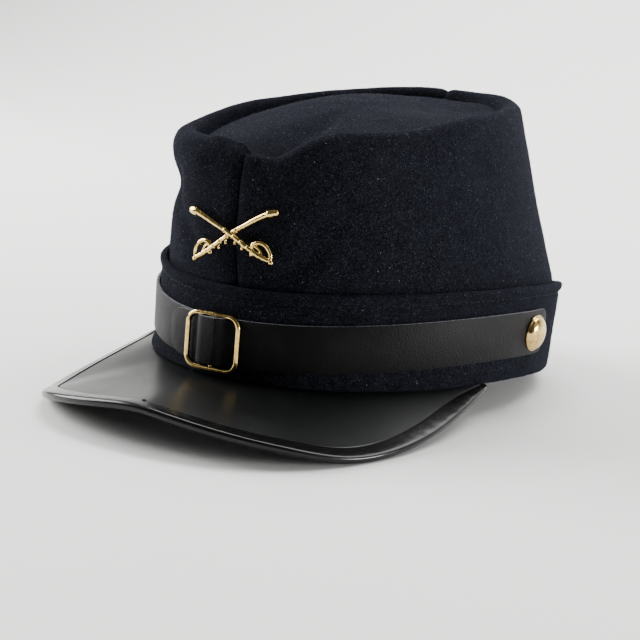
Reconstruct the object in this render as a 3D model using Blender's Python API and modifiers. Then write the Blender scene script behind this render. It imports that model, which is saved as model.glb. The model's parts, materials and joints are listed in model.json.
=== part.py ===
# A wool kepi: a slanted crown with a sunken top, a cloth band, a bound leather peak, a leather chin strap
# with a brass slide buckle and side buttons, and a crossed-sabres badge. It stands as it rests on a table.
# The cap is drawn in its own frame: origin at the middle of the head opening, +Z up, front towards -Y,
# the wearer's left towards +X. Angles run round the head from 0 at the front, positive to the wearer's left.

import bisect
import math

import bmesh
import bpy
from mathutils import Matrix, Vector

# Clearance between pieces that touch on the real cap.
FIT_GAP = 0.0003

# Head opening and band.
HEAD_LENGTH = 0.1976
HEAD_BREADTH = 0.1568
BAND_WALL = 0.0026
BAND_HEIGHT = 0.0370
BAND_FLARE = 0.0014
HEM_SADDLE = 0.0025
BAND_TOP_SADDLE = 0.0040
BAND_SWAY = 0.0030
HEM_ROLL = 0.0056

# Crown.
CLOTH_WALL = 0.0022
CROWN_TUCK = 0.0080
CROWN_RISE = 0.0670
CREST_LENGTH = 0.1680
CREST_BREADTH = 0.1230
CREST_FORWARD = 0.0210
CREST_SLANT = 0.0140
RIM_RADIUS = 0.0050
LIP_DROP = 0.0025
TOP_DOME = 0.0060
SEAM_DEPTH = 0.0012
SEAM_REACH = 0.0030

# Peak and its binding.
PEAK_LENGTH = 0.0577
PEAK_SPREAD = 0.0080
PEAK_SQUARENESS = 2.5
PEAK_END_ANGLE = math.radians(76.5)
PEAK_SWEEP = math.radians(88.2)
PEAK_WALL = 0.0026
BINDING_WIDTH = 0.0070
BINDING_WALL = 0.0007
BINDING_DEPTH = 0.0032

# Chin strap, slide buckle and side buttons.
STRAP_WIDTH = 0.0184
STRAP_WALL = 0.0014
STRAP_END = 0.0068
BUTTON_ANGLE = math.radians(89.0)
BUTTON_RADIUS = 0.0075
BUTTON_HEIGHT = 0.0044
POST_RADIUS = 0.0013
RIVET_RADIUS = 0.0034
RIVET_WALL = 0.0008
BUCKLE_OFFSET = -0.0050
BUCKLE_WIDTH = 0.0248
BUCKLE_CORNER = 0.0048
BUCKLE_WIRE = 0.0019
BUCKLE_BAR = 0.0018
TIP_REACH = 0.0250

# Badge.
BADGE_WIDTH = 0.0390
BADGE_RISE = 0.0204
BADGE_TURN = math.radians(5.0)
BADGE_WIRE = 0.0019
BADGE_POST = 0.0006
BADGE_POST_SPREAD = 0.0090
BADGE_POST_REACH = 0.0020

# How far the cloth flattens where the cap rests, and how far the leather does.
CLOTH_FLATTEN = 0.0004
LEATHER_FLATTEN = 0.0001

# How the band sways from its oval. Columns: angle in degrees, at the hem and at the band's top as shares
# of the sway. A negative share goes inwards.
BAND_SWAYS = (
    (-180, 0.00, 0.00),
    (-130, 0.00, -0.20),
    (-95, 0.20, -0.55),
    (-65, 0.35, -0.85),
    (-40, 0.25, -0.60),
    (-15, 0.00, -0.10),
    (30, 0.00, 0.00),
    (80, 0.00, 0.00),
    (130, 0.00, 0.00),
)

# The band's section. Columns: across the wall from the head side, up the band from the hem.
BAND_SECTION = (
    (0.00, 0.020),
    (0.12, 0.000),
    (0.88, 0.000),
    (1.00, 0.025),
    (1.00, 0.150),
    (1.00, 0.420),
    (1.00, 0.860),
    (0.88, 0.885),
    (1.18, 0.910),
    (1.36, 0.950),
    (1.28, 0.985),
    (1.00, 1.000),
    (0.30, 1.000),
    (0.00, 0.985),
    (0.00, 0.480),
    (0.00, 0.150),
)

# The crest round the crown. Columns: angle in degrees, rise as a share of the crown's rise,
# inset as a share of the crest's breadth.
CREST_WAVES = (
    (-180, 0.015, 0.000),
    (-160, 0.014, 0.000),
    (-135, -0.006, 0.000),
    (-110, -0.022, 0.000),
    (-90, -0.036, 0.000),
    (-66, -0.066, 0.003),
    (-46, -0.052, 0.005),
    (-23, -0.030, 0.010),
    (-9, -0.045, 0.030),
    (0, -0.062, 0.042),
    (9, -0.095, 0.044),
    (15, -0.092, 0.036),
    (21, -0.030, 0.016),
    (28, 0.022, 0.004),
    (36, 0.044, 0.000),
    (46, 0.046, 0.000),
    (56, 0.030, 0.000),
    (64, 0.056, 0.000),
    (76, 0.072, 0.004),
    (92, 0.066, 0.010),
    (112, 0.050, 0.012),
    (135, 0.030, 0.006),
    (150, 0.034, 0.000),
    (166, 0.014, 0.000),
)

# Dents of the crown's wall. Columns: angle in degrees, share of the wall's height, width in degrees,
# width as a share of the height, lean in degrees over the whole height, depth as a share of the crown's
# rise. A negative depth stands out.
WALL_DENTS = (
    (0, 0.45, 46, 0.42, 0, -0.046),
    (-58, 0.60, 18, 0.16, 24, 0.062),
    (-62, 0.40, 30, 0.34, 0, 0.024),
    (-44, 0.90, 20, 0.14, 0, -0.010),
    (44, 0.34, 9, 0.30, 60, -0.016),
    (30, 0.30, 11, 0.24, 50, 0.022),
    (96, 0.48, 26, 0.30, -30, 0.014),
    (150, 0.40, 20, 0.34, 20, 0.018),
    (-128, 0.46, 24, 0.30, -20, 0.016),
)

# Waves of the sunken top. Columns: share of the half breadth towards the wearer's left, share of the half
# length towards the front, width as a share of the half breadth, height as a share of the dome.
TOP_WAVES = (
    (-0.35, -0.30, 0.55, 0.55),
    (0.45, -0.55, 0.45, -0.60),
    (0.10, 0.75, 0.40, -0.55),
    (0.50, 0.20, 0.40, 0.25),
)

# The peak's droop. Columns: sweep in degrees, drop as a share of the peak's length.
PEAK_DROOP = (
    (0, 0.055),
    (30, 0.188),
    (50, 0.270),
    (70, 0.200),
    (90, 0.000),
)

# Where the crown's columns stand between the front and the back seam, in degrees.
CROWN_COLUMNS = (5, 10, 15, 20, 26, 33, 41, 50, 60, 71, 83, 95, 107, 119, 131, 143, 154, 164, 173)

# Where the crown's rows stand, as shares of the wall's height and as degrees round the rim's roll.
WALL_ROWS = (0.10, 0.22, 0.35, 0.49, 0.63, 0.77, 0.90)
RIM_ROWS = (0, 35, 70, 105, 145)

# A sabre of the badge, from its scabbard's tip through the crossing to the cross-guard.
# Columns: across and up, as shares of the badge's width, and the wire's thickness as a share of its own.
SABRE_BLADE = (
    (-0.480, 0.212, 1.30),
    (-0.440, 0.206, 1.45),
    (-0.370, 0.186, 1.15),
    (-0.310, 0.158, 0.95),
    (-0.185, 0.095, 0.95),
    (0.000, 0.000, 0.95),
    (0.125, -0.080, 1.00),
    (0.240, -0.158, 1.05),
)
SABRE_GRIP = (
    (0.225, -0.148, 0.90),
    (0.330, -0.212, 1.15),
    (0.455, -0.268, 0.95),
)
SABRE_GUARD = (
    (0.245, -0.165, 0.75),
    (0.280, -0.098, 0.95),
    (0.345, -0.082, 0.90),
    (0.420, -0.112, 0.85),
    (0.468, -0.180, 0.80),
    (0.470, -0.262, 0.75),
)
# Knobs on a sabre. Columns: across and up as shares of the badge's width, size as a share of the wire.
SABRE_KNOBS = (
    (-0.492, 0.214, 0.85),
    (0.258, -0.200, 0.80),
    (0.272, -0.096, 0.80),
    (0.478, -0.284, 0.90),
)
# Scabbard rings: how far along the sabre from the crossing, as shares of the badge's width.
SCABBARD_RINGS = (0.062, 0.140)
RING_DROP = 0.058

WOOL = ((0.012, 0.015, 0.032, 1.0), 0.95, 0.0)
LEATHER = ((0.012, 0.012, 0.013, 1.0), 0.38, 0.0)
GLOSSY_LEATHER = ((0.008, 0.008, 0.009, 1.0), 0.18, 0.0)
BRASS = ((0.78, 0.62, 0.30, 1.0), 0.22, 1.0)
GILT = ((0.90, 0.76, 0.42, 1.0), 0.20, 1.0)


def new_collection(name):
    made = bpy.data.collections.new(name)
    bpy.context.scene.collection.children.link(made)
    return made


def new_material(name, colour, roughness, metallic):
    made = bpy.data.materials.new(name)
    made.use_nodes = True
    shader = made.node_tree.nodes["Principled BSDF"]
    shader.inputs["Base Color"].default_value = colour
    shader.inputs["Roughness"].default_value = roughness
    shader.inputs["Metallic"].default_value = metallic
    return made


def new_object(name, mesh, home, root, material):
    made = bpy.data.objects.new(name, mesh)
    home.objects.link(made)
    made.parent = root
    mesh.materials.append(material)
    mesh.shade_smooth()
    mesh.set_sharp_from_angle(angle=math.radians(35))
    return made


def smooth_step(share):
    share = min(max(share, 0.0), 1.0)
    return share * share * (3 - 2 * share)


def between(rows, where, column):
    """A smooth curve through one column of a table whose first column is in rising order."""
    keys = [row[0] for row in rows]
    right = min(max(bisect.bisect_right(keys, where), 1), len(rows) - 1)
    left = right - 1
    span = keys[right] - keys[left]

    def slope(index):
        before, after = max(index - 1, 0), min(index + 1, len(rows) - 1)
        return (rows[after][column] - rows[before][column]) / (keys[after] - keys[before])

    share = min(max((where - keys[left]) / span, 0.0), 1.0)
    start, end = rows[left][column], rows[right][column]
    lead, trail = slope(left) * span, slope(right) * span
    return (
        start * (1 + 2 * share) * (1 - share) ** 2
        + lead * share * (1 - share) ** 2
        + end * share * share * (3 - 2 * share)
        - trail * share * share * (1 - share)
    )


def around(rows, angle, column):
    """The same for a table whose first column goes once round the head, in degrees."""
    turn = 360
    looped = (
        [(row[0] - turn, *row[1:]) for row in rows[-3:]]
        + list(rows)
        + [(row[0] + turn, *row[1:]) for row in rows[:3]]
    )
    where = (math.degrees(angle) + turn / 2) % turn - turn / 2
    return between(looped, where, column)


def sway(angle, height):
    """How far the band stands out from its oval at a height."""
    share = smooth_step(height / HEM_ROLL)
    hem, top = around(BAND_SWAYS, angle, 1), around(BAND_SWAYS, angle, 2)
    return BAND_SWAY * (hem + share * (top - hem))


def oval(angle, out, height=0.0):
    """A point round the head opening, this far out from the band's inner face."""
    out += sway(angle, height)
    return Vector(
        (
            math.sin(angle) * (HEAD_BREADTH / 2 + out),
            -math.cos(angle) * (HEAD_LENGTH / 2 + out),
            height,
        )
    )


def outward(angle, out=BAND_WALL):
    """The level direction that faces straight out of the oval."""
    breadth, length = HEAD_BREADTH / 2 + out, HEAD_LENGTH / 2 + out
    return Vector((math.sin(angle) / breadth, -math.cos(angle) / length, 0.0)).normalized()


def hem_height(angle):
    return -HEM_SADDLE * math.cos(2 * angle)


def band_top(angle):
    return BAND_HEIGHT - BAND_TOP_SADDLE * math.cos(2 * angle)


def band_height(angle, share):
    return hem_height(angle) + share * (band_top(angle) - hem_height(angle))


def walk(distance, out=BAND_WALL):
    """The angle reached by going this far along the oval from the front centre."""
    step = 0.0005
    angle, gone = 0.0, 0.0
    while gone < abs(distance):
        stride = min(step, abs(distance) - gone)
        breadth, length = HEAD_BREADTH / 2 + out, HEAD_LENGTH / 2 + out
        angle += stride / math.hypot(breadth * math.cos(angle), length * math.sin(angle))
        gone += stride
    return math.copysign(angle, distance)


def distance_to(goal, out=BAND_WALL):
    """How far along the oval from the front centre an angle lies."""
    steps = 400
    breadth, length = HEAD_BREADTH / 2 + out, HEAD_LENGTH / 2 + out
    turn = goal / steps
    return sum(
        math.hypot(breadth * math.cos((i + 0.5) * turn), length * math.sin((i + 0.5) * turn)) * turn
        for i in range(steps)
    )


def peak_half_breadth():
    return math.sin(PEAK_END_ANGLE) * (HEAD_BREADTH / 2 + BAND_WALL)


def peak_edge(sweep):
    """The peak's outer edge, at the middle of its thickness. The sweep is 0 at the front."""
    back = -math.cos(PEAK_END_ANGLE) * (HEAD_LENGTH / 2 + BAND_WALL)
    front = -(HEAD_LENGTH / 2 + BAND_WALL + PEAK_LENGTH)
    power = 2 / PEAK_SQUARENESS
    sine, cosine = math.sin(sweep), max(math.cos(sweep), 0.0)
    across = peak_half_breadth() * math.copysign(abs(sine) ** power, sine)
    across += PEAK_SPREAD * math.sin(2 * sweep)
    along = back + (front - back) * cosine**power
    drop = PEAK_LENGTH * between(PEAK_DROOP, math.degrees(abs(sweep)), 1)
    seat = hem_height(root_angle(across, along))
    return Vector((across, along, seat - FIT_GAP - BINDING_DEPTH / 2 - drop))


def root_angle(across, along):
    """The angle of the oval's nearest point, where the peak springs from."""
    breadth, length = HEAD_BREADTH / 2 + BAND_WALL, HEAD_LENGTH / 2 + BAND_WALL
    angle = math.atan2(across / breadth, -along / length)
    for _ in range(12):
        away = Vector((across - breadth * math.sin(angle), along + length * math.cos(angle)))
        run = Vector((breadth * math.cos(angle), length * math.sin(angle)))
        bend = Vector((-breadth * math.sin(angle), length * math.cos(angle)))
        angle += away.dot(run) / (run.dot(run) - away.dot(bend))
    return angle


def rest_tilt():
    """How far the cap leans back, so that the hem's back and the peak's corners stand on one level."""
    heel = Vector((HEAD_LENGTH / 2 + BAND_WALL / 2, hem_height(math.pi)))
    lean = 0.0
    steps = 60
    for i in range(steps):
        edge = peak_edge(PEAK_SWEEP * i / steps)
        toe = Vector((edge.y, edge.z - BINDING_DEPTH / 2))
        lean = max(lean, math.atan2(heel.y - toe.y, heel.x - toe.x))
    return lean, heel


def flatten(mesh, depth):
    """Presses the mesh flat where it would reach into the surface that the cap rests on."""
    lean, heel = rest_tilt()
    up = Vector((0.0, -math.sin(lean), math.cos(lean)))
    for vertex in mesh.vertices:
        gap = (vertex.co - Vector((0.0, heel.x, heel.y))).dot(up)
        if gap < depth:
            vertex.co += up * (depth - gap)


def sheet(columns, rows, place, wrapped=False):
    """An open surface: a grid whose vertex in column i and row j goes to place(i, j)."""
    made = bmesh.new()
    bmesh.ops.create_grid(made, x_segments=columns, y_segments=rows, size=0.5)
    for vertex in made.verts:
        column = round((vertex.co.x + 0.5) * columns)
        row = round((vertex.co.y + 0.5) * rows)
        vertex.co = place(column % columns if wrapped else column, row)
    bmesh.ops.remove_doubles(made, verts=made.verts, dist=0.00002)
    mesh = bpy.data.meshes.new("sheet")
    made.to_mesh(mesh)
    made.free()
    return mesh


def loft(sections, closed=False):
    """A solid through closed sections that have as many points each. Open lofts get an end face each."""
    made = bmesh.new()
    rings = [[made.verts.new(point) for point in section] for section in sections]
    count = len(rings[0])
    spans = len(rings) if closed else len(rings) - 1
    for k in range(spans):
        ring, following = rings[k], rings[(k + 1) % len(rings)]
        for i in range(count):
            j = (i + 1) % count
            made.faces.new((ring[i], ring[j], following[j], following[i]))
    if not closed:
        made.faces.new(rings[0])
        made.faces.new(rings[-1])
    bmesh.ops.recalc_face_normals(made, faces=made.faces)
    mesh = bpy.data.meshes.new("loft")
    made.to_mesh(mesh)
    made.free()
    return mesh


def thicken(obj, wall, offset):
    solid = obj.modifiers.new("wall", "SOLIDIFY")
    solid.thickness = wall
    solid.offset = offset
    solid.use_even_offset = True
    solid.use_quality_normals = True


def wire(name, points, radii, home, root, sides=2, cyclic=False):
    """A round wire through points as a closed mesh object."""
    curve = bpy.data.curves.new(name, "CURVE")
    curve.dimensions = "3D"
    curve.bevel_depth = 1.0
    curve.bevel_resolution = sides
    curve.use_fill_caps = True
    spline = curve.splines.new("POLY")
    spline.points.add(len(points) - 1)
    spline.use_cyclic_u = cyclic
    for knot, point, radius in zip(spline.points, points, radii):
        knot.co = (*point, 1.0)
        knot.radius = radius
    drawn = bpy.data.objects.new(name, curve)
    home.objects.link(drawn)
    mesh = bpy.data.meshes.new_from_object(
        drawn.evaluated_get(bpy.context.evaluated_depsgraph_get())
    )
    bpy.data.objects.remove(drawn)
    made = bmesh.new()
    made.from_mesh(mesh)
    bmesh.ops.remove_doubles(made, verts=made.verts, dist=0.000005)
    bmesh.ops.recalc_face_normals(made, faces=made.faces)
    made.to_mesh(mesh)
    made.free()
    obj = bpy.data.objects.new(name, mesh)
    home.objects.link(obj)
    obj.parent = root
    return obj


def ball(name, centre, radius, home, root):
    made = bmesh.new()
    bmesh.ops.create_uvsphere(made, u_segments=8, v_segments=5, radius=radius)
    mesh = bpy.data.meshes.new(name)
    made.to_mesh(mesh)
    made.free()
    obj = bpy.data.objects.new(name, mesh)
    home.objects.link(obj)
    obj.parent = root
    obj.location = centre
    return obj


def turned(name, profile, steps, home, root, material):
    """A solid of revolution about Z from a profile that runs down its outer side."""
    mesh = bpy.data.meshes.new(name)
    edges = [(i, i + 1) for i in range(len(profile) - 1)]
    mesh.from_pydata([(radius, 0.0, height) for radius, height in profile], edges, [])
    obj = bpy.data.objects.new(name, mesh)
    home.objects.link(obj)
    obj.parent = root
    mesh.materials.append(material)
    screw = obj.modifiers.new("turn", "SCREW")
    screw.steps = steps
    screw.render_steps = steps
    screw.use_merge_vertices = True
    screw.merge_threshold = 0.00001
    screw.use_smooth_shade = True
    return obj


def boolean(obj, operation, other):
    """Joins or cuts with another object, or with every object of a collection."""
    joined = obj.modifiers.new(operation.lower(), "BOOLEAN")
    joined.operation = operation
    joined.solver = "EXACT"
    if isinstance(other, bpy.types.Collection):
        joined.operand_type = "COLLECTION"
        joined.collection = other
    else:
        joined.object = other


def as_cutter(obj):
    obj.hide_render = True
    obj.display_type = "WIRE"
    return obj


def rod(name, start, end, radius, sides, home, root):
    """A straight round bar between two points."""
    run = end - start
    made = bmesh.new()
    bmesh.ops.create_cone(
        made,
        cap_ends=True,
        segments=sides,
        radius1=radius,
        radius2=radius,
        depth=run.length,
    )
    mesh = bpy.data.meshes.new(name)
    made.to_mesh(mesh)
    made.free()
    obj = bpy.data.objects.new(name, mesh)
    home.objects.link(obj)
    obj.parent = root
    obj.location = (start + end) / 2
    obj.rotation_euler = run.to_track_quat("Z", "Y").to_euler()
    return obj


def build_band(home, root, material):
    columns = 56
    sections = []
    for i in range(columns):
        angle = 2 * math.pi * i / columns
        sections.append(
            [
                oval(angle, across * BAND_WALL + up * BAND_FLARE, band_height(angle, up))
                for across, up in BAND_SECTION
            ]
        )
    mesh = loft(sections, closed=True)
    flatten(mesh, CLOTH_FLATTEN)
    return new_object("band", mesh, home, root, material)


def crest_inset(angle):
    return CREST_BREADTH * around(CREST_WAVES, angle, 2)


def crest_height(angle):
    wave = CROWN_RISE * around(CREST_WAVES, angle, 1)
    return BAND_HEIGHT + CROWN_RISE - CREST_SLANT * math.cos(angle) + wave


def crest(angle, out, height):
    """A point beside the crown's crest: out from it and above it."""
    reach = out - crest_inset(angle)
    return Vector(
        (
            math.sin(angle) * (CREST_BREADTH / 2 + reach),
            -math.cos(angle) * (CREST_LENGTH / 2 + reach) - CREST_FORWARD,
            crest_height(angle) + height,
        )
    )


def dent_depth(angle, share):
    degrees = math.degrees(angle)
    depth = 0.0
    for at, up, width, tall, lean, deep in WALL_DENTS:
        off = (degrees - at - lean * (share - up) + 180) % 360 - 180
        depth += deep * math.exp(-((off / width) ** 2) - ((share - up) / tall) ** 2)
    ends = smooth_step(share / 0.12)
    return CROWN_RISE * depth * ends


def wall_point(angle, share, sunk=0.0):
    """The crown wall's outer face, from the band's top at share 0 to the shoulder at share 1."""
    foot = oval(angle, BAND_FLARE - FIT_GAP, band_top(angle))
    shoulder = crest(angle, RIM_RADIUS, -RIM_RADIUS)
    point = foot.lerp(shoulder, share)
    return point - outward(angle) * (dent_depth(angle, share) + sunk)


def seam_sink(reach):
    """How deep the cloth turns in beside a seam."""
    return SEAM_DEPTH * (1 - smooth_step(abs(reach) / SEAM_REACH))


def crown_columns():
    """Columns of the crown's left half: an angle in radians and a distance from that angle's seam."""
    near = (FIT_GAP / 2, SEAM_REACH * 0.35, SEAM_REACH)
    front = [(0.0, reach) for reach in near]
    back = [(math.pi, -reach) for reach in reversed(near)]
    return front + [(math.radians(at), 0.0) for at in CROWN_COLUMNS] + back


def crown_point(side, column, row):
    """A vertex of one half of the crown. The rows run up the wall, over the rim and down the lip."""
    base, reach = column
    wall_rows = [0.0, *WALL_ROWS]

    def placed(angle):
        sunk = seam_sink(reach) if reach else 0.0
        if row == 0:
            share = 1 - CROWN_TUCK / (band_top(angle) - hem_height(angle))
            return oval(angle, BAND_FLARE * share - FIT_GAP - sunk, band_height(angle, share))
        if row <= len(wall_rows):
            return wall_point(angle, wall_rows[row - 1], sunk)
        roll = row - len(wall_rows) - 1
        if roll < len(RIM_ROWS):
            turn = math.radians(RIM_ROWS[roll])
            radius = RIM_RADIUS - sunk
            return crest(angle, radius * math.cos(turn), radius * math.sin(turn) - RIM_RADIUS)
        return crest(angle, -RIM_RADIUS, -RIM_RADIUS - LIP_DROP)

    angle = side * base
    if reach:
        goal = side * abs(reach)
        for _ in range(6):
            point = placed(angle)
            breadth = max(abs(point.x / math.sin(angle)), 0.02) if abs(math.sin(angle)) > 1e-6 else 0.06
            slope = breadth * math.cos(angle)
            angle += (goal - point.x) / slope
    point = placed(angle)
    if reach:
        point.x = side * abs(reach)
    return point


def build_crown_half(name, side, home, root, material):
    columns = crown_columns()
    last = len(columns) - 1
    rows = 1 + len(WALL_ROWS) + len(RIM_ROWS) + 1

    def place(i, j):
        column = columns[i if side > 0 else last - i]
        return crown_point(side, column, j)

    obj = new_object(name, sheet(last, rows, place), home, root, material)
    thicken(obj, CLOTH_WALL, -1.0)
    return obj


def top_height(angle, share):
    """The sunken top's upper face, from its middle at share 0 to its edge at share 1."""
    level = BAND_HEIGHT + CROWN_RISE - RIM_RADIUS - CREST_SLANT * math.cos(angle) * share
    wave = CROWN_RISE * around(CREST_WAVES, angle, 1) * share * share
    height = level + wave + TOP_DOME * (1 - share * share)
    for left, front, width, rise in TOP_WAVES:
        off_left = math.sin(angle) * share - left
        off_front = math.cos(angle) * share - front
        swell = math.exp(-(off_left**2 + off_front**2) / width**2)
        height += TOP_DOME * rise * swell * (1 - share**4)
    return height


def build_crown_top(home, root, material):
    one_side = [math.radians(at) for at in CROWN_COLUMNS]
    angles = [0.0, *one_side, math.pi, *[-at for at in reversed(one_side)]]
    columns = len(angles)
    rings = (1.0, 0.93, 0.82, 0.66, 0.46, 0.24, 0.0)

    def place(i, j):
        angle = angles[i]
        share = rings[j]
        rim = crest(angle, -RIM_RADIUS - FIT_GAP, 0.0)
        return Vector(
            (
                rim.x * share,
                (rim.y + CREST_FORWARD) * share - CREST_FORWARD,
                top_height(angle, share),
            )
        )

    mesh = sheet(columns, len(rings) - 1, place, wrapped=True)
    obj = new_object("crown_top", mesh, home, root, material)
    thicken(obj, CLOTH_WALL, -1.0)
    return obj


def peak_frame(sweep):
    """At one sweep of the peak: its inner end, length, outward direction, up direction and binding reach."""
    edge = peak_edge(sweep)
    angle = root_angle(edge.x, edge.y)
    root_point = oval(angle, 0.0, hem_height(angle) - FIT_GAP - BINDING_DEPTH / 2)
    run = edge - root_point
    length = run.length
    run.normalize()
    nudge = 0.01
    along = (peak_edge(sweep + nudge) - peak_edge(sweep - nudge)).normalized()
    up = run.cross(along).normalized()
    if up.z < 0:
        up.negate()
    skew = max(run.cross(along).length, 0.5)
    reach = min(BINDING_WIDTH / skew, 0.55 * length)
    return root_point, length, run, up, reach


def peak_sweeps():
    count = 50
    return [PEAK_SWEEP * (2 * i / count - 1) for i in range(count + 1)]


def build_peak(home, root, material):
    half, skived = PEAK_WALL / 2, BINDING_DEPTH / 2 - BINDING_WALL - FIT_GAP
    sections = []
    for sweep in peak_sweeps():
        start, length, run, up, reach = peak_frame(sweep)
        step = length - reach
        rim = length - BINDING_WALL - FIT_GAP
        bevel = half - skived
        upper = [
            (0.0, half),
            (step * 0.33, half),
            (step * 0.67, half),
            (step - bevel, half),
            (step, skived),
            (rim, skived),
        ]
        outline = upper + [(run_out, -height) for run_out, height in reversed(upper)]
        sections.append([start + run * out + up * height for out, height in outline])
    mesh = loft(sections)
    flatten(mesh, LEATHER_FLATTEN)
    return new_object("peak", mesh, home, root, material)


def build_peak_binding(home, root, material):
    outer = BINDING_DEPTH / 2
    inner = outer - BINDING_WALL
    turns = [math.radians(at) for at in (60, 25, -25, -60)]
    sections = []
    for sweep in peak_sweeps():
        start, length, run, up, reach = peak_frame(sweep)
        lip = length - reach + FIT_GAP
        shoulder = length - outer
        outline = [(lip, inner), (lip, outer), (max(shoulder, lip), outer)]
        outline += [
            (length - outer + outer * math.cos(turn), outer * math.sin(turn)) for turn in turns
        ]
        outline += [(max(shoulder, lip), -outer), (lip, -outer), (lip, -inner)]
        outline += [(length - BINDING_WALL, -inner), (length - BINDING_WALL, inner)]
        sections.append([start + run * out + up * height for out, height in outline])
    mesh = loft(sections)
    flatten(mesh, LEATHER_FLATTEN)
    return new_object("peak_binding", mesh, home, root, material)


def strap_share(angle):
    """How far up the band the strap's middle lies."""
    front, side = 0.40, 0.50
    return front + (side - front) * math.sin(angle) ** 2


def strap_point(distance, across, lift):
    """A point on the strap: along the band, across the strap, and lifted off the band's face."""
    angle = walk(distance)
    middle = band_height(angle, strap_share(angle))
    height = middle + across
    share = (height - hem_height(angle)) / (band_top(angle) - hem_height(angle))
    face = oval(angle, BAND_WALL + BAND_FLARE * share, height)
    return face + outward(angle) * lift


def strap_direction(distance):
    """The strap's own axes at a place on it: along it, up across it, and out of it."""
    reach = 0.004
    along = strap_point(distance + reach, 0.0, 0.0) - strap_point(distance - reach, 0.0, 0.0)
    along.normalize()
    up = strap_point(distance, reach, 0.0) - strap_point(distance, -reach, 0.0)
    out = along.cross(up).normalized()
    return along, out.cross(along), out


def buckle_lifts():
    """How far off the band the slide's left bar, middle bar and right bar lie, as a flat frame."""
    bar_reach = BUCKLE_WIDTH / 2 - BUCKLE_WIRE / 2
    middle = strap_point(BUCKLE_OFFSET, 0.0, 0.0)
    out = strap_direction(BUCKLE_OFFSET)[2]
    sag = -(strap_point(BUCKLE_OFFSET + bar_reach, 0.0, 0.0) - middle).dot(out)
    over_one = STRAP_WALL + 2 * FIT_GAP + BUCKLE_WIRE / 2
    over_two = over_one + STRAP_WALL + 2.5 * FIT_GAP
    lowest = FIT_GAP + loop_radius() + STRAP_WALL / 2
    centre = max((over_one + over_two) / 2 - sag, lowest)
    half_rise = (over_two - over_one) / 2
    return centre + half_rise, centre, centre - half_rise


def loop_radius():
    """The middle of the short strap's turn round the slide's bar."""
    return BUCKLE_BAR / 2 + FIT_GAP + STRAP_WALL / 2


def strap_half_width(reach_left):
    """Half the strap's width where this much of it is left before a rounded end."""
    half = STRAP_WIDTH / 2
    if reach_left >= half:
        return half
    return math.sqrt(max(half**2 - (half - reach_left) ** 2, (half * 0.12) ** 2))


def blunt_half_width(reach_left):
    """Half the strap's width before a blunt end with rounded corners."""
    half, corner = STRAP_WIDTH / 2, STRAP_WIDTH * 0.22
    if reach_left >= corner:
        return half
    return half - corner + math.sqrt(max(corner**2 - (corner - reach_left) ** 2, 0.0))


def evenly(start, end, spacing):
    count = max(1, round(abs(end - start) / spacing))
    return [start + (end - start) * i / count for i in range(count + 1)]


def build_long_strap(home, root, material):
    """From the left button across the front, through the slide, to its rounded tip."""
    button = distance_to(BUTTON_ANGLE)
    end = button + STRAP_END
    tip = BUCKLE_OFFSET - TIP_REACH
    bar_reach = BUCKLE_WIDTH / 2 - BUCKLE_WIRE / 2
    clear = BUCKLE_WIRE / 2 + FIT_GAP
    low = FIT_GAP + STRAP_WALL / 2
    over_short = low + STRAP_WALL + FIT_GAP
    high = buckle_lifts()[1] + loop_radius() + STRAP_WALL + FIT_GAP
    flat_top = loop_radius() + STRAP_WALL / 2

    def lift(distance):
        off = distance - BUCKLE_OFFSET
        side = low if off > 0 else over_short
        climb = (bar_reach - BUCKLE_CORNER * 0.75 - abs(off)) / (bar_reach - BUCKLE_CORNER * 0.75 - flat_top)
        return side + (high - side) * smooth_step(climb)

    places = sorted(
        {
            *evenly(tip, tip + STRAP_WIDTH / 2, 0.0016),
            *evenly(tip + STRAP_WIDTH / 2, BUCKLE_OFFSET - bar_reach + clear, 0.0030),
            *evenly(BUCKLE_OFFSET - bar_reach + clear, BUCKLE_OFFSET + bar_reach - clear, 0.0012),
            *evenly(BUCKLE_OFFSET + bar_reach - clear, end - STRAP_WIDTH * 0.22, 0.0058),
            *evenly(end - STRAP_WIDTH * 0.22, end, 0.0014),
        }
    )
    shares = (-1.0, 0.0, 1.0)

    def place(i, j):
        distance = places[i]
        half = min(strap_half_width(distance - tip), blunt_half_width(end - distance))
        return strap_point(distance, shares[j] * half, lift(distance))

    mesh = sheet(len(places) - 1, len(shares) - 1, place)
    obj = new_object("strap_long", mesh, home, root, material)
    thicken(obj, STRAP_WALL, 0.0)
    return obj


def build_short_strap(home, root, material):
    """From the right button to the slide, where it turns round the middle bar."""
    button = -distance_to(BUTTON_ANGLE)
    end = button - STRAP_END
    low = FIT_GAP + STRAP_WALL / 2
    centre = buckle_lifts()[1]
    radius = loop_radius()
    straight = [
        *evenly(end, end + STRAP_WIDTH * 0.22, 0.0014),
        *evenly(end + STRAP_WIDTH * 0.22, BUCKLE_OFFSET - 0.006, 0.0058)[1:],
    ]
    path = [(distance, low) for distance in straight]
    turns = 10
    for i in range(turns + 1):
        turn = math.radians(-90 + 210 * i / turns)
        path.append(
            (BUCKLE_OFFSET + radius * math.cos(turn), centre + radius * math.sin(turn))
        )
    shares = (-1.0, 0.0, 1.0)

    def place(i, j):
        distance, lift = path[i]
        half = STRAP_WIDTH / 2
        if i < len(straight):
            half = blunt_half_width(distance - end)
        return strap_point(distance, shares[j] * half, lift)

    mesh = sheet(len(path) - 1, len(shares) - 1, place)
    obj = new_object("strap_short", mesh, home, root, material)
    thicken(obj, STRAP_WALL, 0.0)
    return obj


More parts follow.
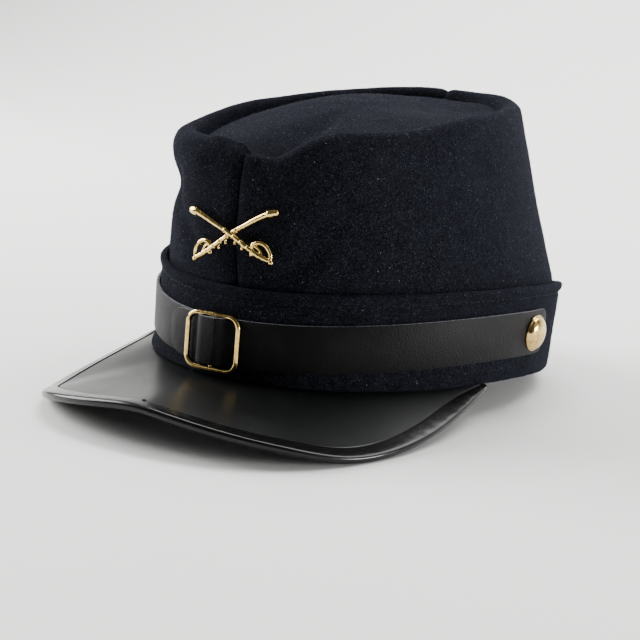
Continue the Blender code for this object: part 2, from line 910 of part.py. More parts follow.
def build_buckle(home, cutters, root, material):
    """A flat brass frame with a middle bar, lying on the strap."""
    along, up, out = strap_direction(BUCKLE_OFFSET)
    left, centre, right = buckle_lifts()
    middle = strap_point(BUCKLE_OFFSET, 0.0, 0.0) + out * centre
    half_wide = BUCKLE_WIDTH / 2 - BUCKLE_WIRE / 2
    half_tall = STRAP_WIDTH / 2 + FIT_GAP + BUCKLE_WIRE / 2
    along = (along * half_wide + out * (right - centre)).normalized()
    points = []
    corners = ((1, 1), (-1, 1), (-1, -1), (1, -1))
    bends = 5
    for number, (to_left, to_top) in enumerate(corners):
        for i in range(bends + 1):
            turn = math.radians(90 * number + 90 * i / bends)
            across = to_left * (half_wide - BUCKLE_CORNER) + BUCKLE_CORNER * math.cos(turn)
            tall = to_top * (half_tall - BUCKLE_CORNER) + BUCKLE_CORNER * math.sin(turn)
            points.append(middle + along * across + up * tall)
    radii = [BUCKLE_WIRE / 2] * len(points)
    frame = wire("buckle", points, radii, home, root, sides=3, cyclic=True)
    frame.data.materials.append(material)
    frame.data.shade_smooth()
    bar = rod(
        "buckle_bar", middle - up * half_tall, middle + up * half_tall, BUCKLE_BAR / 2, 10, cutters, root
    )
    boolean(frame, "UNION", as_cutter(bar))
    return frame


def button_place(side):
    """Where a button's back lies on the strap, and the direction it faces."""
    distance = side * distance_to(BUTTON_ANGLE)
    out = strap_direction(distance)[2]
    return strap_point(distance, 0.0, 0.0) + out * (STRAP_WALL + 2 * FIT_GAP), out


def build_button(name, side, home, root, material):
    """A domed button on a post that ends in a flat rivet inside the band."""
    place, out = button_place(side)
    through = STRAP_WALL + BAND_WALL + 3 * FIT_GAP
    edge = 0.0009
    dome = [
        (
            BUTTON_RADIUS * 0.93 * math.sin(math.radians(turn)),
            edge + (BUTTON_HEIGHT - edge) * math.cos(math.radians(turn)),
        )
        for turn in (0, 15, 30, 45, 60, 75, 90)
    ]
    profile = [
        *dome,
        (BUTTON_RADIUS, edge * 0.9),
        (BUTTON_RADIUS, edge * 0.2),
        (BUTTON_RADIUS * 0.96, 0.0),
        (POST_RADIUS, 0.0),
        (POST_RADIUS, -through),
        (RIVET_RADIUS, -through),
        (RIVET_RADIUS, -through - RIVET_WALL),
        (0.0, -through - RIVET_WALL),
    ]
    obj = turned(name, profile, 20, home, root, material)
    obj.location = place
    obj.rotation_euler = out.to_track_quat("Z", "Y").to_euler()
    return obj


def post_cutter(name, side, cutters, root):
    place, out = button_place(side)
    reach = 0.006
    return as_cutter(
        rod(name, place - out * reach, place + out * reach / 2, POST_RADIUS + FIT_GAP, 12, cutters, root)
    )


def badge_height():
    return band_top(0.0) + BADGE_RISE


def badge_front():
    """How far forward the badge's middle plane lies: just clear of the wall behind its middle."""
    height = badge_height()
    lowest = 0.0
    for i in range(9):
        for j in range(9):
            angle = math.radians(-12 + 3 * i)
            share = 0.1 + 0.08 * j
            point = wall_point(angle, share)
            if abs(point.z - height) < BADGE_WIDTH * 0.3:
                lowest = min(lowest, point.y)
    return lowest - FIT_GAP - BADGE_WIRE * 0.6


def badge_point(across, up):
    """A point on the badge's middle plane, which bows back a little at its sides."""
    bow = 0.085
    turned_across = across * math.cos(BADGE_TURN) - up * math.sin(BADGE_TURN)
    turned_up = across * math.sin(BADGE_TURN) + up * math.cos(BADGE_TURN)
    x = turned_across * BADGE_WIDTH
    return Vector((x, badge_front() + x * x / (2 * bow), badge_height() + turned_up * BADGE_WIDTH))


def sabre(side, home, root):
    """The pieces of one sabre in its scabbard. Side 1 has its hilt to the wearer's left."""
    layer = Vector((0.0, -0.0003 * side, 0.0))
    pieces = []

    def line(label, table):
        points = [badge_point(side * across, up) + layer for across, up, _ in table]
        radii = [BADGE_WIRE / 2 * thick for _, _, thick in table]
        pieces.append(wire(f"sabre_{label}_{side}", points, radii, home, root, sides=1))

    line("blade", SABRE_BLADE)
    line("grip", SABRE_GRIP)
    line("guard", SABRE_GUARD)
    for number, (across, up, size) in enumerate(SABRE_KNOBS):
        centre = badge_point(side * across, up) + layer
        pieces.append(ball(f"sabre_knob_{number}_{side}", centre, BADGE_WIRE / 2 * size * 1.3, home, root))
    for number, along in enumerate(SCABBARD_RINGS):
        drop = -along * 0.64
        top = badge_point(side * along, drop) + layer
        foot = badge_point(side * along, drop - RING_DROP) + layer
        pieces.append(rod(f"sabre_stem_{number}_{side}", top, foot, BADGE_WIRE * 0.2, 6, home, root))
        pieces.append(ball(f"sabre_ring_{number}_{side}", foot, BADGE_WIRE * 0.42, home, root))
    return pieces


def build_badge(home, cutters, root, material):
    """Two crossed sabres in one casting, on two pins that pass through the cloth."""
    shapes = bpy.data.collections.new("badge_shapes")
    cutters.children.link(shapes)
    first, *others = sabre(1, shapes, root) + sabre(-1, shapes, root)
    for side in (1, -1):
        start = pin_place(side)
        wall = CLOTH_WALL + BADGE_POST_REACH
        others.append(
            rod(f"badge_pin_{side}", start, start + Vector((0.0, wall + 0.004, 0.0)), BADGE_POST, 8, shapes, root)
        )
    badge = bpy.data.objects.new("sabre_badge", first.data)
    home.objects.link(badge)
    badge.parent = root
    first.data.materials.append(material)
    bpy.data.objects.remove(first)
    for obj in others:
        as_cutter(obj)
    boolean(badge, "UNION", shapes)
    return badge


def pin_place(side):
    """Where a pin leaves the back of the badge, on the stretch of a blade above the crossing."""
    across = BADGE_POST_SPREAD / BADGE_WIDTH
    up = between([(-row[0], row[1]) for row in reversed(SABRE_BLADE)], across, 1)
    return badge_point(side * across, up)


def pin_cutter(side, cutters, root):
    start = pin_place(side)
    reach = 0.02
    return as_cutter(
        rod(
            f"pin_hole_{side}",
            start,
            start + Vector((0.0, reach, 0.0)),
            BADGE_POST + FIT_GAP,
            10,
            cutters,
            root,
        )
    )


def clear_scene():
    for obj in list(bpy.data.objects):
        bpy.data.objects.remove(obj)


def settle(root, pieces):
    """Leans the cap back as it rests, and puts the middle of its footprint at the origin."""
    root.rotation_euler = (-rest_tilt()[0], 0.0, 0.0)
    bpy.context.view_layer.update()
    graph = bpy.context.evaluated_depsgraph_get()
    corners = []
    for obj in pieces:
        solid = obj.evaluated_get(graph)
        corners += [solid.matrix_world @ vertex.co for vertex in solid.to_mesh().vertices]
        solid.to_mesh_clear()
    lowest = [min(corner[i] for corner in corners) for i in range(3)]
    highest = [max(corner[i] for corner in corners) for i in range(3)]
    root.location = (
        -(lowest[0] + highest[0]) / 2,
        -(lowest[1] + highest[1]) / 2,
        -lowest[2],
    )
    bpy.context.view_layer.update()


def main():
    clear_scene()
    home = new_collection("kepi_cap")
    cutters = new_collection("kepi_cutters")
    cutters.hide_render = True
    root = bpy.data.objects.new("cap_axis", None)
    home.objects.link(root)

    wool = new_material("navy_wool", *WOOL)
    leather = new_material("black_leather", *LEATHER)
    glossy = new_material("glossy_black_leather", *GLOSSY_LEATHER)
    brass = new_material("brass", *BRASS)
    gilt = new_material("gilt_metal", *GILT)

    band = build_band(home, root, wool)
    crown_left = build_crown_half("crown_left", 1, home, root, wool)
    crown_right = build_crown_half("crown_right", -1, home, root, wool)
    crown_top = build_crown_top(home, root, wool)
    peak = build_peak(home, root, leather)
    binding = build_peak_binding(home, root, glossy)
    strap_long = build_long_strap(home, root, leather)
    strap_short = build_short_strap(home, root, leather)
    buckle = build_buckle(home, cutters, root, brass)
    button_left = build_button("button_left", 1, home, root, brass)
    button_right = build_button("button_right", -1, home, root, brass)
    badge = build_badge(home, cutters, root, gilt)

    for name, side, strap in (("left", 1, strap_long), ("right", -1, strap_short)):
        hole = post_cutter(f"post_hole_{name}", side, cutters, root)
        boolean(band, "DIFFERENCE", hole)
        boolean(strap, "DIFFERENCE", hole)
    boolean(crown_left, "DIFFERENCE", pin_cutter(1, cutters, root))
    boolean(crown_right, "DIFFERENCE", pin_cutter(-1, cutters, root))

    settle(
        root,
        [
            band,
            crown_left,
            crown_right,
            crown_top,
            peak,
            binding,
            strap_long,
            strap_short,
            buckle,
            button_left,
            button_right,
            badge,
        ],
    )


main()
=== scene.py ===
import json
import math
import random

import bmesh
import bpy
import numpy as np
from mathutils import Matrix, Vector, noise
from mathutils.bvhtree import BVHTree


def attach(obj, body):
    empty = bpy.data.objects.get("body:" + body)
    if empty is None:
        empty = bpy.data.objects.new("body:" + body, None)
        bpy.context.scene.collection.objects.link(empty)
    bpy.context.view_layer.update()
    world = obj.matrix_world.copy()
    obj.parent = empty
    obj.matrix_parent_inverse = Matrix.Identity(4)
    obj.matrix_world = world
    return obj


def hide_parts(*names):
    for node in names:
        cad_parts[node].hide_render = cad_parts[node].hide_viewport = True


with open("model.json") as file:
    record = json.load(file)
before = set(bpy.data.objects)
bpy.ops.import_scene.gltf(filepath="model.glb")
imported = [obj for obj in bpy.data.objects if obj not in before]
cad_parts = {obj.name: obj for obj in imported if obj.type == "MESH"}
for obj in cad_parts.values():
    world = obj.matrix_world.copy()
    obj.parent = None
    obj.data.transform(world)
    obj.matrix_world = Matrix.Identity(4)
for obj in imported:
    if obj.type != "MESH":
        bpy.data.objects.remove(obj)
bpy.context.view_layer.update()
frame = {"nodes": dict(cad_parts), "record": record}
print("frame loaded")

# The cap's own upright: its head opening's middle and the way up out of it, as the record gives them.
opening = next(m for m in frame["record"]["mounts"] if m["name"] == "head_opening")
capUp = -Vector(opening["axis"]).normalized()
capSide = Vector((1, 0, 0))
capBack = capUp.cross(capSide)
capFrame = Matrix((capSide, capBack, capUp)).transposed().to_4x4()
capFrame.translation = Vector(opening["pos_m"])
toCap = capFrame.inverted()


def newObject(name, data):
    obj = bpy.data.objects.new(name, data)
    bpy.context.scene.collection.objects.link(obj)
    return obj


def pickOnly(*objs):
    for other in bpy.context.selected_objects:
        other.select_set(False)
    for obj in objs:
        obj.select_set(True)
    bpy.context.view_layer.objects.active = objs[0]


def settled(*objs):
    # puts the place, turn and size of objects into their meshes
    pickOnly(*objs)
    bpy.ops.object.transform_apply(location=True, rotation=True, scale=True)


def applied(obj, kind, **settings):
    pickOnly(obj)
    modifier = obj.modifiers.new(kind.lower(), kind)
    for key, value in settings.items():
        setattr(modifier, key, value)
    bpy.ops.object.modifier_apply(modifier=modifier.name)


def smoothed(obj, levels):
    applied(obj, "SUBSURF", levels=levels, render_levels=levels)


def joined(name, objs):
    pickOnly(*objs)
    if len(objs) > 1:
        bpy.ops.object.join()
    obj = bpy.context.view_layer.objects.active
    obj.name = name
    return obj


def copyOf(name, *nodes, keepCorners=None):
    # a merged copy of the solids, with its triangles paired up again into quads; corners sharper than
    # keepCorners degrees stay sharp when it is smoothed
    made = []
    for node in nodes:
        obj = newObject(name, frame["nodes"][node].data.copy())
        obj.data.materials.clear()
        made.append(obj)
    obj = joined(name, made)
    bpy.ops.mesh.customdata_custom_splitnormals_clear()
    bpy.ops.object.mode_set(mode="EDIT")
    bpy.ops.mesh.select_all(action="SELECT")
    bpy.ops.mesh.remove_doubles(threshold=0.00002)
    bpy.ops.mesh.tris_convert_to_quads(face_threshold=math.radians(60), shape_threshold=math.radians(60))
    bpy.ops.object.mode_set(mode="OBJECT")
    if keepCorners is not None:
        corners = bmesh.new()
        corners.from_mesh(obj.data)
        crease = corners.edges.layers.float.new("crease_edge")
        for edge in corners.edges:
            if edge.is_manifold and edge.calc_face_angle() > math.radians(keepCorners):
                edge[crease] = 1.0
        corners.to_mesh(obj.data)
        corners.free()
    return obj


def dressed(obj, material, slotName, *nodes, smoothAngle=None):
    # gives a finished piece its material and hangs it on the cap
    if material is not None:
        obj.data.materials.clear()
        obj.data.materials.append(material)
    settled(obj)
    if smoothAngle is None:
        bpy.ops.object.shade_smooth()
    else:
        bpy.ops.object.shade_smooth_by_angle(angle=math.radians(smoothAngle))
    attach(obj, "root")
    if nodes:
        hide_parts(*nodes)
    return obj


def surfaceOf(*nodes):
    made = bmesh.new()
    for node in nodes:
        made.from_mesh(frame["nodes"][node].data)
    tree = BVHTree.FromBMesh(made)
    made.free()
    return tree


def capPoints(node):
    # a node's corners in the cap's own frame
    return np.array([toCap @ v.co for v in frame["nodes"][node].data.vertices])


def linear(hexColour):
    values = [int(hexColour[i:i + 2], 16) / 255 for i in (1, 3, 5)]
    return [v / 12.92 if v <= 0.04045 else ((v + 0.055) / 1.055) ** 2.4 for v in values] + [1.0]


def newMaterial(name):
    material = bpy.data.materials.new(name)
    material.use_nodes = True
    return material, material.node_tree, material.node_tree.nodes["Principled BSDF"]


def connect(tree, node, links):
    # links are a socket's name, or i and its number, to a value or to another node's socket
    for key, value in links.items():
        numbered = key[0] == "i" and key[1:].isdigit()
        socket = node.inputs[int(key[1:]) if numbered else key]
        if isinstance(value, bpy.types.NodeSocket):
            tree.links.new(value, socket)
        else:
            socket.default_value = value


def addNode(tree, kind, settings=None, stops=(), **links):
    # adds one node; stops are a ramp's places and colours
    made = tree.nodes.new(kind)
    for key, value in (settings or {}).items():
        setattr(made, key, value)
    connect(tree, made, links)
    if stops:
        elements = made.color_ramp.elements
        while len(elements) < len(stops):
            elements.new(0.5)
        for element, (place, colour) in zip(elements, stops):
            element.position = place
            element.color = linear(colour)
    return made


def perMm(sizeMm):
    # pattern scale on coordinates in metres, from a real size
    return 1000 / sizeMm


def fewSpecks(tree, place, apartMm, size, rarity):
    # lint or dust: 1 on a few small round specks, and 0 beside them
    specks = addNode(tree, "ShaderNodeTexVoronoi", i0=place, Scale=perMm(apartMm))
    inside = addNode(tree, "ShaderNodeMath", {"operation": "LESS_THAN"}, i0=specks.outputs["Distance"], i1=size)
    chosen = addNode(tree, "ShaderNodeSeparateColor", i0=specks.outputs["Color"])
    rare = addNode(tree, "ShaderNodeMath", {"operation": "GREATER_THAN"}, i0=chosen.outputs[0], i1=rarity)
    return addNode(tree, "ShaderNodeMath", {"operation": "MULTIPLY"}, i0=inside.outputs[0], i1=rare.outputs[0])


wool = {
    "deep": "#040406",
    "mid": "#090a0e",
    "pale": "#121419",
    "fleck": "#34363f",
    "lint": "#8f949e",
    "fibreMm": 0.8,
    "fleckMm": 0.85,
    "cloudMm": 11.0,
    "lintMm": 2.6,
    "roughness": 1.0,
    "specular": 0.04,
    "sheen": 0.030,
    "sheenTint": "#7482cc",
    "bumpMm": 0.30,
    "cloudShare": 0.22,
    "fibreShare": 0.78,
    "fleckFrom": 0.54,
    "fleckTo": 0.66,
    "fleckMost": 0.9,
    "lintSize": 0.055,
    "lintRarity": 0.80,
    "sheenRoughness": 0.45,
}


def makeWool():
    # napped melton wool, felted and brushed: no weave shows, only a short matt fuzz flecked with paler fibres,
    # drawn about twice as coarse as they are so that they show
    material, tree, shader = newMaterial("nappedNavyWool")
    place = addNode(tree, "ShaderNodeTexCoord").outputs["Object"]
    clouds = addNode(tree, "ShaderNodeTexNoise", i0=place, Scale=perMm(wool["cloudMm"]), Detail=3.0, Roughness=0.55)
    fibres = addNode(tree, "ShaderNodeTexNoise", i0=place, Scale=perMm(wool["fibreMm"]), Detail=4.0,
                     Roughness=0.75, Distortion=1.6)
    flecks = addNode(tree, "ShaderNodeTexNoise", i0=place, Scale=perMm(wool["fleckMm"]), Detail=2.0,
                     Roughness=0.8, Distortion=2.4)
    nap = addNode(tree, "ShaderNodeMath", {"operation": "MULTIPLY_ADD"},
                  i0=clouds.outputs[0], i1=wool["cloudShare"], i2=0.0)
    mixed = addNode(tree, "ShaderNodeMath", {"operation": "MULTIPLY_ADD"},
                    i0=fibres.outputs[0], i1=wool["fibreShare"], i2=nap.outputs[0])
    tone = addNode(tree, "ShaderNodeValToRGB", i0=mixed.outputs[0],
                   stops=[(0.40, wool["deep"]), (0.50, wool["mid"]), (0.62, wool["pale"])])
    fleckOn = addNode(tree, "ShaderNodeMapRange", i0=flecks.outputs[0],
                      i1=wool["fleckFrom"], i2=wool["fleckTo"], i3=0.0, i4=wool["fleckMost"])
    flecked = addNode(tree, "ShaderNodeMix", {"data_type": "RGBA"},
                      i0=fleckOn.outputs[0], i6=tone.outputs[0], i7=linear(wool["fleck"]))
    lint = fewSpecks(tree, place, wool["lintMm"], wool["lintSize"], wool["lintRarity"])
    colour = addNode(tree, "ShaderNodeMix", {"data_type": "RGBA"},
                     i0=lint.outputs[0], i6=flecked.outputs[2], i7=linear(wool["lint"]))
    height = addNode(tree, "ShaderNodeMath", i0=flecks.outputs[0], i1=fibres.outputs[0])
    bump = addNode(tree, "ShaderNodeBump", Strength=1.0, Distance=wool["bumpMm"] / 1000, Height=height.outputs[0])
    connect(tree, shader, {
        "Base Color": colour.outputs[2],
        "Normal": bump.outputs[0],
        "Roughness": wool["roughness"],
        "Specular IOR Level": wool["specular"],
        "Sheen Weight": wool["sheen"],
        "Sheen Roughness": wool["sheenRoughness"],
        "Sheen Tint": linear(wool["sheenTint"]),
    })
    return material


# the fibres' colours are painted paler than the navy cloth, as painted light through the fibres
looseWool = {"colours": ("#15171d", "#353843", "#6a6d78"), "shadeMm": 1.1, "roughness": 0.8, "specular": 0.1}


def makeFuzz():
    # single wool fibres that stand off the nap, painted paler than the cloth: a painted glow for the light that goes
    # through them
    material, tree, shader = newMaterial("looseWoolFibrePaintedGlow")
    place = addNode(tree, "ShaderNodeTexCoord").outputs["Object"]
    shade = addNode(tree, "ShaderNodeTexNoise", i0=place, Scale=perMm(looseWool["shadeMm"]), Detail=2.0)
    colour = addNode(tree, "ShaderNodeValToRGB", i0=shade.outputs[0],
                     stops=list(zip((0.42, 0.55, 0.68), looseWool["colours"])))
    connect(tree, shader, {
        "Base Color": colour.outputs[0],
        "Roughness": looseWool["roughness"],
        "Specular IOR Level": looseWool["specular"],
    })
    return material


strapLeather = {
    "colour": "#08080a",
    "worn": "#121214",
    "grainMm": 0.62,
    "warpMm": 2.5,
    "warpReach": 0.0006,
    "wearMm": 14,
    "roughness": (0.46, 0.56),
    "bumpMm": 0.17,
    "specular": 0.10,
}


def makeStrapLeather():
    # drum-dyed strap leather with a fine pebbled grain: black, low sheen, sparkling where light rakes it
    material, tree, shader = newMaterial("pebbledStrapLeather")
    place = addNode(tree, "ShaderNodeTexCoord").outputs["Object"]
    warp = addNode(tree, "ShaderNodeTexNoise", i0=place, Scale=perMm(strapLeather["warpMm"]), Detail=2.0)
    bent = addNode(tree, "ShaderNodeVectorMath", {"operation": "MULTIPLY_ADD"},
                   i0=warp.outputs["Color"], i1=[strapLeather["warpReach"]] * 3, i2=place)
    grain = addNode(tree, "ShaderNodeTexVoronoi", {"feature": "SMOOTH_F1"},
                    i0=bent.outputs[0], Scale=perMm(strapLeather["grainMm"]), Smoothness=0.35)
    wear = addNode(tree, "ShaderNodeTexNoise", i0=place, Scale=perMm(strapLeather["wearMm"]), Detail=4.0, Roughness=0.6)
    colour = addNode(tree, "ShaderNodeValToRGB", i0=wear.outputs[0],
                     stops=[(0.45, strapLeather["colour"]), (0.78, strapLeather["worn"])])
    low, high = strapLeather["roughness"]
    rough = addNode(tree, "ShaderNodeMapRange", i0=wear.outputs[0], i1=0.3, i2=0.7, i3=low, i4=high)
    bump = addNode(tree, "ShaderNodeBump", {"invert": True},
                   Strength=0.8, Distance=strapLeather["bumpMm"] / 1000, Height=grain.outputs["Distance"])
    connect(tree, shader, {
        "Base Color": colour.outputs[0],
        "Roughness": rough.outputs[0],
        "Normal": bump.outputs[0],
        "Specular IOR Level": strapLeather["specular"],
    })
    return material


rawEdge = {"colours": ("#232326", "#5c5d63", "#9a9ba1"), "frayMm": 0.9, "bumpMm": 0.08, "roughness": 0.75}


def makeRawEdge():
    # the strap's cut edge: undyed core of the leather, grey and fibrous where the black finish stops
    material, tree, shader = newMaterial("rawLeatherEdge")
    place = addNode(tree, "ShaderNodeTexCoord").outputs["Object"]
    fray = addNode(tree, "ShaderNodeTexNoise", i0=place, Scale=perMm(rawEdge["frayMm"]), Detail=4.0, Roughness=0.7)
    colour = addNode(tree, "ShaderNodeValToRGB", i0=fray.outputs[0],
                     stops=list(zip((0.40, 0.55, 0.72), rawEdge["colours"])))
    bump = addNode(tree, "ShaderNodeBump", Strength=0.6, Distance=rawEdge["bumpMm"] / 1000, Height=fray.outputs[0])
    connect(tree, shader, {
        "Base Color": colour.outputs[0],
        "Normal": bump.outputs[0],
        "Roughness": rawEdge["roughness"],
    })
    return material


peakLeather = {
    "colour": "#090a0a",
    "haze": "#101112",
    "dust": "#a8a8a6",
    "wearMm": 22,
    "grainMm": 0.5,
    "dustMm": 2.1,
    "dustSize": 0.05,
    "dustRarity": 0.86,
    "roughness": (0.31, 0.35),
    "bumpMm": 0.03,
    "specular": 0.38,
}


def makePeakLeather():
    # smooth finished peak leather: a thin semi-gloss top coat that blurs what it mirrors, with dust on it
    material, tree, shader = newMaterial("smoothPeakLeather")
    place = addNode(tree, "ShaderNodeTexCoord").outputs["Object"]
    wear = addNode(tree, "ShaderNodeTexNoise", i0=place, Scale=perMm(peakLeather["wearMm"]), Detail=5.0, Roughness=0.62)
    grain = addNode(tree, "ShaderNodeTexNoise", i0=place, Scale=perMm(peakLeather["grainMm"]),
                    Detail=3.0, Roughness=0.6)
    tone = addNode(tree, "ShaderNodeValToRGB", i0=wear.outputs[0],
                   stops=[(0.40, peakLeather["colour"]), (0.75, peakLeather["haze"])])
    dust = fewSpecks(tree, place, peakLeather["dustMm"], peakLeather["dustSize"], peakLeather["dustRarity"])
    colour = addNode(tree, "ShaderNodeMix", {"data_type": "RGBA"},
                     i0=dust.outputs[0], i6=tone.outputs[0], i7=linear(peakLeather["dust"]))
    low, high = peakLeather["roughness"]
    rough = addNode(tree, "ShaderNodeMapRange", i0=wear.outputs[0], i1=0.3, i2=0.7, i3=low, i4=high)
    bump = addNode(tree, "ShaderNodeBump", Strength=0.35, Distance=peakLeather["bumpMm"] / 1000,
                   Height=grain.outputs[0])
    connect(tree, shader, {
        "Base Color": colour.outputs[2],
        "Roughness": rough.outputs[0],
        "Normal": bump.outputs[0],
        "Specular IOR Level": peakLeather["specular"],
    })
    return material


bindingLeather = {
    "colour": "#09090a",
    "scuffed": "#161617",
    "waveMm": 6,
    "scuffMm": 1.2,
    "roughness": (0.16, 0.26),
    "bumpMm": 0.3,
    "specular": 0.25,
}


def makeGlossyBinding():
    # lacquered binding leather: nearly a mirror, with slight waves from being pulled round the edge
    material, tree, shader = newMaterial("lacqueredBinding")
    place = addNode(tree, "ShaderNodeTexCoord").outputs["Object"]
    waves = addNode(tree, "ShaderNodeTexNoise", i0=place, Scale=perMm(bindingLeather["waveMm"]), Detail=2.0)
    scuffs = addNode(tree, "ShaderNodeTexNoise", i0=place, Scale=perMm(bindingLeather["scuffMm"]),
                     Detail=4.0, Roughness=0.7)
    colour = addNode(tree, "ShaderNodeValToRGB", i0=scuffs.outputs[0],
                     stops=[(0.5, bindingLeather["colour"]), (0.8, bindingLeather["scuffed"])])
    low, high = bindingLeather["roughness"]
    rough = addNode(tree, "ShaderNodeMapRange", i0=scuffs.outputs[0], i1=0.35, i2=0.75, i3=low, i4=high)
    bump = addNode(tree, "ShaderNodeBump", Strength=0.3, Distance=bindingLeather["bumpMm"] / 1000,
                   Height=waves.outputs[0])
    connect(tree, shader, {
        "Base Color": colour.outputs[0],
        "Roughness": rough.outputs[0],
        "Normal": bump.outputs[0],
        "Specular IOR Level": bindingLeather["specular"],
    })
    return material


metal = {"markMm": 1.6, "dulling": 0.12, "bumpMm": 0.05}


def makeMetal(name, bright, dull, roughness):
    # brass under a pale gilt wash, tumbled and polished: a mirror softened by fine handling marks
    material, tree, shader = newMaterial(name)
    place = addNode(tree, "ShaderNodeTexCoord").outputs["Object"]
    marks = addNode(tree, "ShaderNodeTexNoise", i0=place, Scale=perMm(metal["markMm"]), Detail=5.0, Roughness=0.65)
    colour = addNode(tree, "ShaderNodeValToRGB", i0=marks.outputs[0], stops=[(0.35, dull), (0.60, bright)])
    rough = addNode(tree, "ShaderNodeMapRange", i0=marks.outputs[0],
                    i1=0.35, i2=0.70, i3=roughness, i4=roughness + metal["dulling"])
    bump = addNode(tree, "ShaderNodeBump", Strength=0.15, Distance=metal["bumpMm"] / 1000, Height=marks.outputs[0])
    connect(tree, shader, {
        "Base Color": colour.outputs[0],
        "Roughness": rough.outputs[0],
        "Normal": bump.outputs[0],
        "Metallic": 1.0,
    })
    return material


thread = {"shadow": "#08090b", "twistMm": 0.35, "roughness": 0.7, "specular": 0.2}


def makeThread(name, colour):
    # waxed sewing thread, twisted and slightly shiny
    material, tree, shader = newMaterial(name)
    place = addNode(tree, "ShaderNodeTexCoord").outputs["Object"]
    twist = addNode(tree, "ShaderNodeTexNoise", i0=place, Scale=perMm(thread["twistMm"]), Detail=2.0)
    tone = addNode(tree, "ShaderNodeValToRGB", i0=twist.outputs[0], stops=[(0.35, thread["shadow"]), (0.7, colour)])
    connect(tree, shader, {
        "Base Color": tone.outputs[0],
        "Roughness": thread["roughness"],
        "Specular IOR Level": thread["specular"],
    })
    return material


woolMaterial = makeWool()
fuzzMaterial = makeFuzz()
strapMaterial = makeStrapLeather()
edgeMaterial = makeRawEdge()
peakMaterial = makePeakLeather()
bindingMaterial = makeGlossyBinding()
brassMaterial = makeMetal("polishedPaleBrass", "#e0c27e", "#b39350", 0.10)
giltMaterial = makeMetal("giltBadgeMetal", "#efd588", "#c6a14f", 0.08)
blackThread = makeThread("waxedBlackThread", "#3a3b3e")
navyThread = makeThread("waxedNavyThread", "#11141d")
print("materials made")


cloth = {
    "panelLevels": 2,
    "fineLevels": 3,
    "ripple": 0.00022,
    "rippleSize": 0.014,
    "mmPerDegree": 1.55,
    "rimFrom": 66,
    "rimOver": 12,
}
roundness = 0.79  # the head opening's breadth over its length

# Folds of the crown's wall, in the cap's own frame: angle round the head in degrees and height in mm at
# each end, then width and lift in mm. A lift below 0 is a crease.
wallFolds = [
    {"from": (-30, 70), "to": (-15, 46), "width": 5.0, "lift": -1.5},
    {"from": (-48, 62), "to": (-26, 72), "width": 6.5, "lift": -1.6},
    {"from": (-40, 84), "to": (-14, 80), "width": 6.0, "lift": 0.8},
    {"from": (15, 38), "to": (25, 57), "width": 4.5, "lift": -0.9},
    {"from": (20, 40), "to": (38, 66), "width": 6.0, "lift": 0.8},
    {"from": (25, 57), "to": (67, 86), "width": 8.0, "lift": -0.8},
]

# Folds where the front of the rim and the top meet: across and back in mm at each end, then width and lift.
topFolds = [
    {"from": (-14, -101), "to": (9, -94), "width": 2.8, "lift": 1.7},
    {"from": (0, -99.5), "to": (11, -96.5), "width": 2.3, "lift": -2.6},
    {"from": (2, -84), "to": (14, -80), "width": 9.0, "lift": -1.8},
    {"from": (18, -100), "to": (34, -92), "width": 6.0, "lift": 0.8},
]


def liftAt(here, folds, degreeMm=1.0):
    # the lift of some folds at a place, in mm
    total = 0.0
    for fold in folds:
        a, b = [Vector((end[0] * degreeMm, end[1])) for end in (fold["from"], fold["to"])]
        share = min(max((here - a).dot(b - a) / (b - a).length_squared, 0.0), 1.0)
        away = (here - a.lerp(b, share)).length
        total += fold["lift"] * math.exp(-(away / fold["width"]) ** 2)
    return total


def foldLift(point):
    # how far a point of the wall stands out because of the folds, in metres
    inCap = toCap @ point
    angle = math.degrees(math.atan2(inCap.x / roundness, -inCap.y))
    here = Vector((angle * cloth["mmPerDegree"], inCap.z * 1000))
    return liftAt(here, wallFolds, cloth["mmPerDegree"]) / 1000


def topLift(point):
    # how far the top and its rim are pushed up or down there, in metres
    inCap = (toCap @ point) * 1000
    if inCap.z < cloth["rimFrom"]:
        return 0.0
    return liftAt(inCap.xy, topFolds) / 1000 * min((inCap.z - cloth["rimFrom"]) / cloth["rimOver"], 1.0)


def settleCloth(obj, folds=False, wall=True):
    # sculpts the even mesh into worn cloth: slow ripples, and the named folds where they lie
    mesh = obj.data
    normals = [v.normal.copy() for v in mesh.vertices]
    for vertex, normal in zip(mesh.vertices, normals):
        ripple = noise.noise(vertex.co / cloth["rippleSize"]) * cloth["ripple"]
        ripple += noise.noise(vertex.co / cloth["rippleSize"] * 2.7) * cloth["ripple"] * 0.5
        if folds and wall:
            ripple += foldLift(vertex.co) * (1 if normal.dot(vertex.co - capFrame.translation) > 0 else -1)
        vertex.co += normal * ripple
        if folds:
            vertex.co += capUp * topLift(vertex.co)
    mesh.update()


pin = {"radius": 0.0006, "hole": 0.0013, "endReach": 0.0005}
badgeCorners = capPoints("sabre_badge")
deepCorners = badgeCorners[badgeCorners[:, 1] > badgeCorners[:, 1].max() - pin["endReach"]]
pinEnds = [deepCorners[deepCorners[:, 0] * side > 0].mean(axis=0) for side in (1, -1)]


def closePinHole(obj):
    # takes the pin's hole out of a panel and fills its two ends
    holes = bmesh.new()
    holes.from_mesh(obj.data)
    for middle in pinEnds:
        places = [(v, toCap @ v.co) for v in holes.verts]
        near = [v for v, p in places if math.hypot(p.x - middle[0], p.z - middle[2]) < pin["hole"]]
        bmesh.ops.delete(holes, geom=near, context="VERTS")
    bmesh.ops.holes_fill(holes, edges=[e for e in holes.edges if e.is_boundary], sides=60)
    holes.to_mesh(obj.data)
    holes.free()


